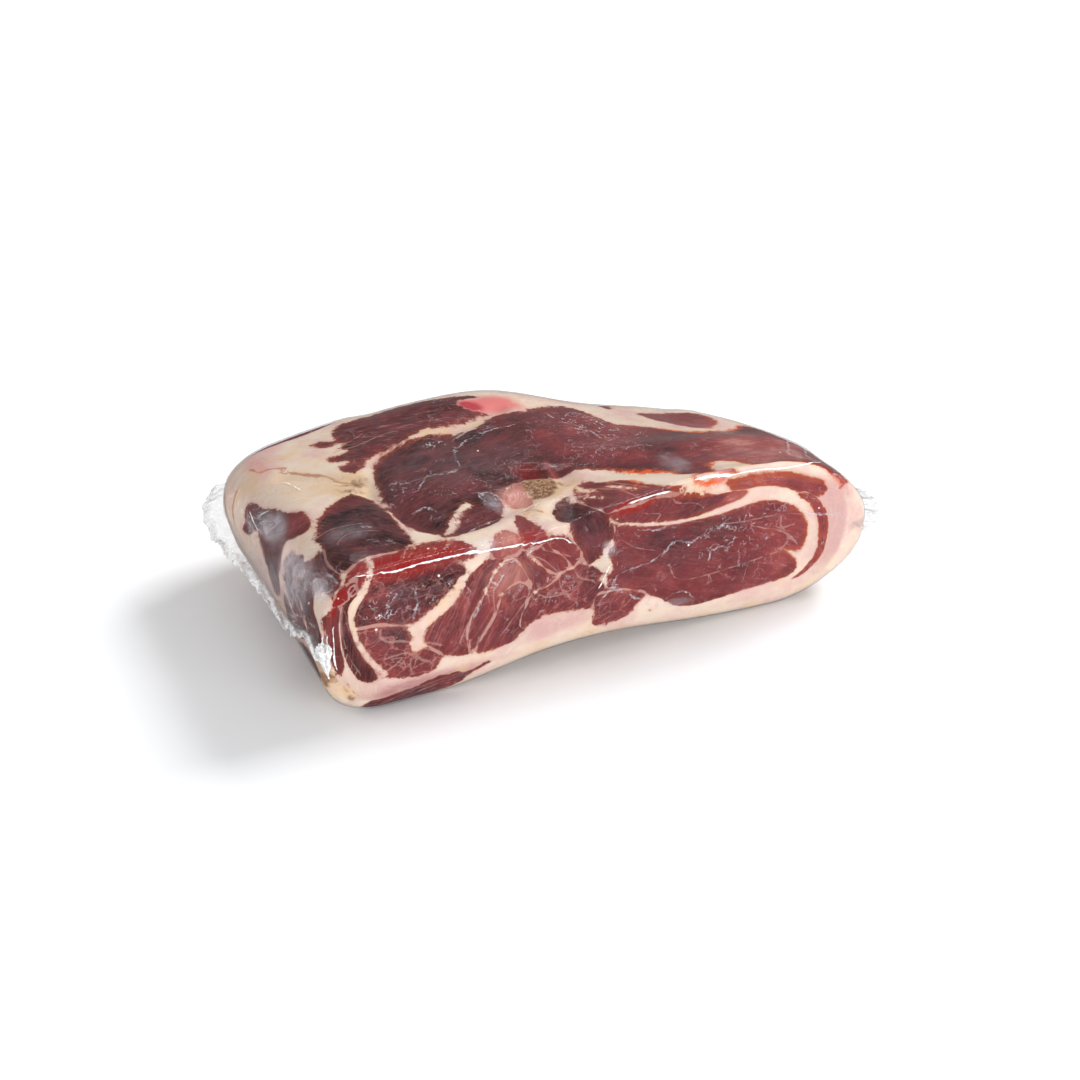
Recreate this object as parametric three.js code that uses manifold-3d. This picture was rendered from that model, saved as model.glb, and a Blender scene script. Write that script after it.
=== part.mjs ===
// Half of a boneless cured shoulder ham, pressed to a block and vacuum packed in clear film
// Millimetres. X runs along the cut face, Y goes back from it, Z is up.
import * as THREE from 'three';
import { mergeVertices } from 'three/addons/utils/BufferGeometryUtils.js';
import Module from 'manifold-3d';

const wasm = await Module();
wasm.setup();

// Box that the roundings are stated in
const boxSize = [237, 132, 62];

// Plan seen from above: four corners, and how far its sides swell out between them
const plan = {
  frontLeft: [-5, 0],
  frontRight: [233, 0],
  backLeft: [-5, 141],
  backRight: [190, 112],
  backSwell: 12,
  rightSwell: 22,
  rightPull: -5,
};

// How far the foot of each end is tucked in below its widest line
const leftTuck = 16;
const rightTuck = 3;

// Rounding of each corner along X, Y and Z, as [left, right][front, back][bottom, top]
const cornerRounding = [
  [[[24, 6, 20], [17, 7, 22]], [[50, 40, 31], [26, 28, 20]]],
  [[[42, 8, 30], [34, 8, 28]], [[34, 34, 28], [32, 28, 18]]],
];

// Height of the top along the front, middle and back, and lift of the underside at the cut face
const profile = [
  { x: -5, front: 60, middle: 57, back: 50, lift: 0 },
  { x: 45, front: 62, middle: 61, back: 59, lift: 0 },
  { x: 90, front: 60, middle: 63, back: 65, lift: 6.5 },
  { x: 120, front: 65, middle: 64, back: 65, lift: 6.5 },
  { x: 160, front: 69, middle: 60, back: 52, lift: 2 },
  { x: 195, front: 67, middle: 55, back: 45, lift: 0 },
  { x: 231, front: 57, middle: 48, back: 42, lift: 0 },
];
const profileDepth = 120;
const liftDepth = 70;

// Relief of the meat under the film: depth below the smooth form, or height above it if negative
const relief = [
  { name: 'joint hollow', depth: 6, radius: 10, path: [[101, 16, 62], [108, 1, 41]] },
  { name: 'joint pocket', depth: 3, radius: 6, path: [[102, 46, 63], [113, 42, 63]] },
  { name: 'joint patch', depth: 1.5, radius: 8, path: [[99, 30, 62], [113, 38, 63]] },
  { name: 'shoulder seam', depth: 1.8, radius: 6,
    path: [[42, 66, 61], [50, 84, 61], [60, 90, 62], [80, 88, 63], [113, 98, 65]] },
  { name: 'lobe seam', depth: 2.2, radius: 7,
    path: [[40, 64, 61], [44, 40, 62], [52, 22, 61], [68, 22, 61], [92, 30, 62]] },
  { name: 'step above the fat strip', depth: 1.6, radius: 6,
    path: [[112, 33, 64], [139, 24, 65], [160, 14, 67], [188, 11, 66], [216, 22, 56]] },
  { name: 'fat crease', depth: 1.4, radius: 5, path: [[16, 98, 56], [43, 72, 61]] },
  { name: 'left fold', depth: 1.5, radius: 6, path: [[2, 75, 51], [-3, 40, 40], [-4, 12, 36]] },
  { name: 'swell of the long muscle', depth: -1.6, radius: 17, path: [[130, 46, 64], [205, 40, 60]] },
  { name: 'swell of the middle muscle', depth: -1.6, radius: 26, path: [[68, 58, 63], [112, 72, 65]] },
  { name: 'swell of the front lobe', depth: -1.6, radius: 17, path: [[20, 25, 60], [34, 44, 61]] },
];

// Cells of the surface grid along X, Y and Z
const gridCells = [44, 22, 12];

// Crinkled seals of the bag at both ends: how far they stand out, from the cut face backwards
const sealThickness = 1.6;
const sealSink = 4;
const seals = [
  { side: 0, from: 0.05, to: 1, height: 0.46, reach: [3, 3.5, 5, 10, 11, 9], waves: 9, stations: 44 },
  { side: 1, from: 0.02, to: 0.8, height: 0.5, reach: [4, 8, 7, 6, 5, 4], waves: 7, stations: 36 },
];
const sealWaveHeight = 1.2;
const sealFrill = 0.9;

function smooth(value) {
  const t = Math.min(Math.max(value, 0), 1);
  return t * t * (3 - 2 * t);
}

// Blend of eight corner values at a point of the unit cube
function cornerBlend(axis, a, b, c) {
  let sum = 0;
  for (const i of [0, 1]) {
    for (const j of [0, 1]) {
      for (const k of [0, 1]) {
        const weight = (i ? a : 1 - a) * (j ? b : 1 - b) * (k ? c : 1 - c);
        sum += weight * cornerRounding[i][j][k][axis];
      }
    }
  }
  return sum / boxSize[axis];
}

// A point on the unit cube's surface moved onto a cube with rounded edges and corners
function roundedCube(point) {
  const eased = point.map(smooth);
  const ends = point.map((value) => (value > 0.5 ? 1 : 0));
  const inner = [];
  const step = [];
  const radii = [];
  for (let axis = 0; axis < 3; axis++) {
    const at = eased.slice();
    at[axis] = ends[axis];
    const radius = cornerBlend(axis, ...at);
    radii.push(radius);
    inner.push(Math.min(Math.max(point[axis], radius), 1 - radius));
    step.push((point[axis] - inner[axis]) / radius);
  }
  const length = Math.max(Math.hypot(...step), 1e-9);
  return inner.map((value, axis) => value + radii[axis] * step[axis] / length);
}

// Smooth curve through the profile's stations, for one of its columns
function profileValue(column, x) {
  const last = profile.length - 1;
  const slope = (i) => {
    const before = profile[Math.max(i - 1, 0)];
    const after = profile[Math.min(i + 1, last)];
    return (after[column] - before[column]) / (after.x - before.x);
  };
  let i = 0;
  while (i < last - 1 && x > profile[i + 1].x) {
    i++;
  }
  const span = profile[i + 1].x - profile[i].x;
  const t = Math.min(Math.max((x - profile[i].x) / span, 0), 1);
  const rise = t * t * (3 - 2 * t);
  return profile[i][column] * (1 - rise) + profile[i + 1][column] * rise
    + span * (slope(i) * t * (1 - t) * (1 - t) - slope(i + 1) * t * t * (1 - t));
}

function topHeight(x, y) {
  const t = Math.min(Math.max(y / profileDepth, 0), 1);
  const front = profileValue('front', x);
  const middle = profileValue('middle', x);
  const back = profileValue('back', x);
  return front * (1 - t) * (1 - 2 * t) + middle * 4 * t * (1 - t) + back * t * (2 * t - 1);
}

function undersideHeight(x, y) {
  return Math.max(profileValue('lift', x), 0) * (1 - smooth(y / liftDepth));
}

// The smooth form of the packed ham, for a point on the unit cube
function hamForm(cubePoint) {
  const [a, b, c] = roundedCube(cubePoint);
  const corner = (axis) => (1 - a) * (1 - b) * plan.frontLeft[axis] + a * (1 - b) * plan.frontRight[axis]
    + (1 - a) * b * plan.backLeft[axis] + a * b * plan.backRight[axis];
  const arch = (t) => 4 * t * (1 - t);
  const low = (1 - c) * (1 - c);
  const x = corner(0) + a * plan.rightSwell * arch(b) + low * ((1 - a) * b * leftTuck - a * rightTuck);
  const y = corner(1) + b * plan.backSwell * arch(a) + a * plan.rightPull * arch(b);
  const floor = undersideHeight(x, y);
  return new THREE.Vector3(x, y, floor + c * (topHeight(x, y) - floor));
}

function distanceToPath(point, path) {
  let nearest = Infinity;
  const closest = new THREE.Vector3();
  for (let i = 0; i + 1 < path.length; i++) {
    const line = new THREE.Line3(new THREE.Vector3(...path[i]), new THREE.Vector3(...path[i + 1]));
    line.closestPointToPoint(point, true, closest);
    nearest = Math.min(nearest, closest.distanceTo(point));
  }
  return nearest;
}

function reliefDepth(point) {
  let depth = 0;
  for (const mark of relief) {
    depth += mark.depth * (1 - smooth(distanceToPath(point, mark.path) / mark.radius));
  }
  return depth;
}

// Triangles with shared vertices, from a list of four-sided cells
function geometryFromCells(cells) {
  const positions = [];
  for (const [p, q, r, s] of cells) {
    for (const corner of [p, q, r, p, r, s]) {
      positions.push(corner.x, corner.y, corner.z);
    }
  }
  const geometry = new THREE.BufferGeometry();
  geometry.setAttribute('position', new THREE.Float32BufferAttribute(positions, 3));
  return mergeVertices(geometry, 1e-3);
}

// The block: six grids of cells on the cube's sides, moved onto the form, with the relief pressed in
function makeBlock() {
  const cells = [];
  const sides = [
    { fixed: 0, across: 2, along: 1 },
    { fixed: 1, across: 0, along: 2 },
    { fixed: 2, across: 1, along: 0 },
  ];
  for (const { fixed, across, along } of sides) {
    for (const end of [0, 1]) {
      const at = (i, j) => {
        const cubePoint = [0, 0, 0];
        cubePoint[fixed] = end;
        cubePoint[across] = i / gridCells[across];
        cubePoint[along] = j / gridCells[along];
        return hamForm(cubePoint);
      };
      for (let i = 0; i < gridCells[across]; i++) {
        for (let j = 0; j < gridCells[along]; j++) {
          const cell = [at(i, j), at(i + 1, j), at(i + 1, j + 1), at(i, j + 1)];
          cells.push(end ? cell.reverse() : cell);
        }
      }
    }
  }
  const geometry = geometryFromCells(cells);
  geometry.computeVertexNormals();
  const position = geometry.attributes.position;
  const point = new THREE.Vector3();
  const normal = new THREE.Vector3();
  for (let i = 0; i < position.count; i++) {
    point.fromBufferAttribute(position, i);
    normal.fromBufferAttribute(geometry.attributes.normal, i);
    point.addScaledVector(normal, -reliefDepth(point));
    position.setXYZ(i, point.x, point.y, point.z);
  }
  geometry.deleteAttribute('normal');
  return geometry;
}

// One seal: a thin frilled ribbon round an end of the block, its inner edge sunk into it
function makeSeal({ side, from, to, height, reach, waves, stations }) {
  const outward = side ? 1 : -1;
  const sections = [];
  for (let i = 0; i <= stations; i++) {
    const t = i / stations;
    const along = from + (to - from) * t;
    const root = hamForm([side, along, height]);
    const tangent = hamForm([side, along + 0.01, height]).sub(hamForm([side, along - 0.01, height]));
    const out = new THREE.Vector3(tangent.y, -tangent.x, 0).normalize().multiplyScalar(outward);
    const place = t * (reach.length - 1);
    const before = Math.min(Math.floor(place), reach.length - 2);
    const width = THREE.MathUtils.lerp(reach[before], reach[before + 1], place - before);
    const turn = 2 * Math.PI * waves * t;
    const edge = width + sealFrill * Math.sin(2.3 * turn + 1);
    const columns = [
      { distance: -sealSink, lift: 0 },
      { distance: 0.4 * edge, lift: 0.3 * sealWaveHeight * Math.sin(turn) },
      { distance: edge, lift: sealWaveHeight * Math.sin(turn) },
    ];
    const upper = columns.map(({ distance, lift }) => root.clone().addScaledVector(out, distance)
      .add(new THREE.Vector3(0, 0, lift + sealThickness / 2)));
    const lower = upper.map((point) => point.clone().add(new THREE.Vector3(0, 0, -sealThickness)));
    sections.push([...upper, ...lower.reverse()]);
  }
  const cells = [];
  const count = sections[0].length;
  for (let i = 0; i < stations; i++) {
    for (let j = 0; j < count; j++) {
      const next = (j + 1) % count;
      const cell = [sections[i][j], sections[i + 1][j], sections[i + 1][next], sections[i][next]];
      cells.push(side ? cell.reverse() : cell);
    }
  }
  for (const [section, flip] of [[sections[0], side === 1], [sections[stations], side === 0]]) {
    for (const [j, k] of [[0, 5], [1, 4]]) {
      const cell = [section[j], section[j + 1], section[k - 1], section[k]];
      cells.push(flip ? cell.reverse() : cell);
    }
  }
  return geometryFromCells(cells);
}

function toSolid(geometry) {
  const vertProperties = new Float32Array(geometry.attributes.position.array);
  const triVerts = new Uint32Array(geometry.index.array);
  return new wasm.Manifold(new wasm.Mesh({ numProp: 3, vertProperties, triVerts }));
}

function fromSolid(solid) {
  const { vertProperties, triVerts } = solid.getMesh();
  const geometry = new THREE.BufferGeometry();
  geometry.setAttribute('position', new THREE.BufferAttribute(vertProperties, 3));
  geometry.setIndex(new THREE.BufferAttribute(triVerts, 1));
  return geometry;
}

function makePackedHam() {
  let solid = toSolid(makeBlock());
  for (const seal of seals) {
    solid = solid.add(toSolid(makeSeal(seal)));
  }
  const geometry = fromSolid(solid);
  geometry.computeBoundingBox();
  const { min, max } = geometry.boundingBox;
  const material = new THREE.MeshStandardMaterial({ color: 0x7a3a3c, roughness: 0.3, metalness: 0 });
  const mesh = new THREE.Mesh(geometry, material);
  mesh.name = 'vacuum_packed_ham';
  mesh.position.set(-(min.x + max.x) / 2, -(min.y + max.y) / 2, -min.z);
  return mesh;
}

const ham = new THREE.Group();
ham.add(makePackedHam());

export default ham;
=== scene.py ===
# Half of a boneless cured shoulder ham, vacuum packed in clear film, lying on a pale table
import math
from types import SimpleNamespace

import bmesh
import bpy
import numpy as np
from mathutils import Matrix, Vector


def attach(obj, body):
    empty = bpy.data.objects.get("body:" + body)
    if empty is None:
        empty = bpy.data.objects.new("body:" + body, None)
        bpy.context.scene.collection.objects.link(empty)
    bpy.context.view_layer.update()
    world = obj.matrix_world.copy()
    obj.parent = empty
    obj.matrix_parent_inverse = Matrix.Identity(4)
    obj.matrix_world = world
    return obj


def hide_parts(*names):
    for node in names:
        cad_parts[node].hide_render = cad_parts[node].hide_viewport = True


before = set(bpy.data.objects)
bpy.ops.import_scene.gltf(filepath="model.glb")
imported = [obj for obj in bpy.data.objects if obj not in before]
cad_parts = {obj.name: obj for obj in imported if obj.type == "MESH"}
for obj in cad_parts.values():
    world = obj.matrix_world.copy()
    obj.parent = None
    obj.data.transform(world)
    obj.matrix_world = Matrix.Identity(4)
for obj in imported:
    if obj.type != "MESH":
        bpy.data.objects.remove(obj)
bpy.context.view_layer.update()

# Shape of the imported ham
# Millimetres. The cut face is at the front, X runs along it, Y goes back and Z is up.

hamShape = dict(
    zero=(-116.69, -70.38),  # where the shape's own zero lies in the frame
    box=(237, 132, 62),
    frontLeft=(-5, 0),
    frontRight=(233, 0),
    backLeft=(-5, 141),
    backRight=(190, 112),
    backSwell=12,
    rightSwell=22,
    rightPull=-5,
    leftTuck=16,
    rightTuck=3,
    # rounding of each corner along X, Y and Z, as [left, right][front, back][bottom, top]
    rounding=[
        [[(24, 6, 20), (17, 7, 22)], [(50, 40, 31), (26, 28, 20)]],
        [[(42, 8, 30), (34, 8, 28)], [(34, 34, 28), (32, 28, 18)]],
    ],
    # heights along the ham: x, top at the cut face, top in the middle, top at the back, lift below
    profile=[
        (-5, 60, 57, 50, 0),
        (45, 62, 61, 59, 0),
        (90, 60, 63, 65, 6.5),
        (120, 65, 64, 65, 6.5),
        (160, 69, 60, 52, 2),
        (195, 67, 55, 45, 0),
        (231, 57, 48, 42, 0),
    ],
    profileDepth=120,
    liftDepth=70,
)

# dents of the meat under the film, and swells where the depth is negative: depth, radius, path
hamRelief = [
    (4.2, 10, [(101, 16, 62), (108, 1, 41)]),
    (2.4, 6, [(102, 46, 63), (113, 42, 63)]),
    (1.5, 8, [(99, 30, 62), (113, 38, 63)]),
    (1.8, 6, [(42, 66, 61), (50, 84, 61), (60, 90, 62), (80, 88, 63), (113, 98, 65)]),
    (2.2, 7, [(40, 64, 61), (44, 40, 62), (52, 22, 61), (68, 22, 61), (92, 30, 62)]),
    (1.6, 6, [(112, 33, 64), (139, 24, 65), (160, 14, 67), (188, 11, 66), (216, 22, 56)]),
    (1.4, 5, [(16, 98, 56), (43, 72, 61)]),
    (1.5, 6, [(2, 75, 51), (-3, 40, 40), (-4, 12, 36)]),
    (-1.6, 17, [(130, 46, 64), (205, 40, 60)]),
    (-1.6, 26, [(68, 58, 63), (112, 72, 65)]),
    (-1.6, 17, [(20, 25, 60), (34, 44, 61)]),
    (-1.6, 16, [(24, 131, 50), (40, 134, 53), (54, 133, 56)]),
    (-1.8, 16, [(196, 84, 50), (214, 60, 52), (222, 40, 53)]),
]


def smooth(value):
    t = np.clip(value, 0, 1)
    return t * t * (3 - 2 * t)


def arch(t):
    return 4 * t * (1 - t)


def curveThrough(x, stations, values):
    xs = np.array(stations, float)
    ys = np.array(values, float)
    slopes = np.empty(len(xs))
    slopes[1:-1] = (ys[2:] - ys[:-2]) / (xs[2:] - xs[:-2])
    slopes[0] = (ys[1] - ys[0]) / (xs[1] - xs[0])
    slopes[-1] = (ys[-1] - ys[-2]) / (xs[-1] - xs[-2])
    i = np.clip(np.searchsorted(xs, x) - 1, 0, len(xs) - 2)
    span = xs[i + 1] - xs[i]
    t = np.clip((x - xs[i]) / span, 0, 1)
    rise = smooth(t)
    bend = span * (slopes[i] * t * (1 - t) ** 2 - slopes[i + 1] * t * t * (1 - t))
    return ys[i] * (1 - rise) + ys[i + 1] * rise + bend


def roundedCube(cube):
    eased = smooth(cube)
    ends = (cube > 0.5) * 1.0
    inner, step, radii = [], [], []
    for axis in range(3):
        at = eased.copy()
        at[:, axis] = ends[:, axis]
        radius = 0
        for corner in np.ndindex(2, 2, 2):
            weight = np.prod(np.where(corner, at, 1 - at), axis=1)
            i, j, k = corner
            radius = radius + weight * hamShape["rounding"][i][j][k][axis]
        radius = radius / hamShape["box"][axis]
        radii.append(radius)
        inner.append(np.minimum(np.maximum(cube[:, axis], radius), 1 - radius))
        step.append((cube[:, axis] - inner[-1]) / radius)
    inner, step, radii = (np.stack(part, axis=1) for part in (inner, step, radii))
    length = np.maximum(np.linalg.norm(step, axis=1, keepdims=True), 1e-9)
    return inner + radii * step / length


def hamForm(cube):
    a, b, c = roundedCube(cube).T
    corners = [np.array(hamShape[name]) for name in ("frontLeft", "frontRight", "backLeft", "backRight")]
    weights = [(1 - a) * (1 - b), a * (1 - b), (1 - a) * b, a * b]
    plan = sum(w[:, None] * corner for w, corner in zip(weights, corners))
    low = (1 - c) ** 2
    tuck = low * ((1 - a) * b * hamShape["leftTuck"] - a * hamShape["rightTuck"])
    x = plan[:, 0] + a * hamShape["rightSwell"] * arch(b) + tuck
    y = plan[:, 1] + b * hamShape["backSwell"] * arch(a) + a * hamShape["rightPull"] * arch(b)
    stations, front, middle, back, lift = zip(*hamShape["profile"])
    front, middle, back, lift = (curveThrough(x, stations, column) for column in (front, middle, back, lift))
    t = np.clip(y / hamShape["profileDepth"], 0, 1)
    top = front * (1 - t) * (1 - 2 * t) + middle * 4 * t * (1 - t) + back * t * (2 * t - 1)
    floor = np.maximum(lift, 0) * (1 - smooth(y / hamShape["liftDepth"]))
    return np.column_stack([x, y, floor + c * (top - floor)])


def awayFrom(points, start, end):
    # the distance of each point from a straight piece of a line
    run = end - start
    along = np.clip((points - start) @ run / max(run @ run, 1e-9), 0, 1)
    return np.linalg.norm(points - start - along[:, None] * run, axis=1)


def pathDistance(points, path):
    path = np.array(path, float)
    return np.min([awayFrom(points, start, end) for start, end in zip(path[:-1], path[1:])], axis=0)


def reliefDepth(points):
    depth = np.zeros(len(points))
    for deep, radius, path in hamRelief:
        depth += deep * (1 - smooth(pathDistance(points, path) / radius))
    return depth


# The surface unrolled to a sheet, in millimetres: S along the ham, T back over the top from the cut
# face's upper edge. The cut face and underside have T below 0, the left end has S below 0.


def sheetPlaces(cube):
    long, deep, high = hamShape["box"]
    a, b, c = cube.T
    s, t = a * long, b * deep
    edge = 1e-4
    left, right = a < edge, a > 1 - edge
    front, back, under = b < edge, b > 1 - edge, c < edge
    s = np.where(left, (c - 1) * high, np.where(right, long + (1 - c) * high, s))
    s = np.where(front | back | under, a * long, s)
    t = np.where(under, -high - b * deep, t)
    t = np.where(back, deep + (1 - c) * high, t)
    t = np.where(front, (c - 1) * high, t)
    return np.column_stack([s, t])


# each corner of a drawn outline or line becomes this many points of a curve
curveSteps = 4
# how far from an outline and from a line their distances are known, and where a line fades out
farAway = 9.0
lineReach = 4.0
lineEnd = (1.9, 1.4)


def splinePoint(before, start, end, after, t):
    bend = -before + 3 * start - 3 * end + after
    slant = 2 * before - 5 * start + 4 * end - after
    return 0.5 * (2 * start + (end - before) * t + slant * t * t + bend * t ** 3)


def smoothRing(outline):
    points = np.array(outline, float)
    corners = [np.roll(points, shift, 0) for shift in (1, 0, -1, -2)]
    return np.stack([splinePoint(*corners, i / curveSteps) for i in range(curveSteps)], axis=1).reshape(-1, 2)


def smoothPath(path):
    points = np.array(path, float)
    points = np.vstack([2 * points[0] - points[1], points, 2 * points[-1] - points[-2]])
    spans = zip(points[:-3], points[1:-2], points[2:-1], points[3:])
    curve = [splinePoint(*span, i / curveSteps) for span in spans for i in range(curveSteps)]
    return np.array(curve + [points[-2]])


def nearby(places, curve, reach):
    return np.all((places > curve.min(0) - reach) & (places < curve.max(0) + reach), axis=1)


def strokeFields(places, name, strokes):
    # for each place: the distance to the nearest stroke with a sign for its side, and without, and its width
    beside, near = np.full(len(places), lineReach), np.full(len(places), lineReach)
    width = np.zeros(len(places))
    for strokeWidth, path in strokes:
        curve = smoothPath(path)
        close = nearby(places, curve, lineReach)
        at = places[close]
        best, side = np.full(len(at), 1e9), np.ones(len(at))
        for start, end in zip(curve[:-1], curve[1:]):
            run, away = end - start, at - start
            distance = awayFrom(at, start, end)
            turn = run[0] * away[:, 1] - run[1] * away[:, 0]
            side = np.where(distance < best, np.sign(turn), side)
            best = np.minimum(best, distance)
        kept = best < near[close]
        where = np.flatnonzero(close)[kept]
        near[where] = best[kept]
        beside[where] = (best * side)[kept]
        width[where] = strokeWidth
    return {name + "Side": beside, name + "Near": near, name + "Width": width}


def outlineDistance(places, outline):
    ring = smoothRing(outline)
    near = nearby(places, ring, farAway)
    at = places[near]
    nearest = np.full(len(at), 1e9)
    inside = np.zeros(len(at), bool)
    for start, end in zip(ring, np.roll(ring, -1, 0)):
        nearest = np.minimum(nearest, awayFrom(at, start, end))
        run = end - start
        crosses = (start[1] > at[:, 1]) != (end[1] > at[:, 1])
        where = start[0] + (at[:, 1] - start[1]) * run[0] / (run[1] if abs(run[1]) > 1e-9 else 1e-9)
        inside ^= crosses & (at[:, 0] < where)
    distance = np.full(len(places), farAway)
    distance[near] = np.minimum(np.where(inside, -1, 1) * nearest, farAway)
    return distance


# The meat: where its lean muscles, seams and stains lie on the unrolled surface

hamMeat = dict(
    underFilm=0.35,  # how far the meat lies below the film
    leanSink=0.25,  # how much lower the lean lies than the fat
    fibreApart=7.0,  # keeps one muscle's fibres from running on in the next
)

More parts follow.
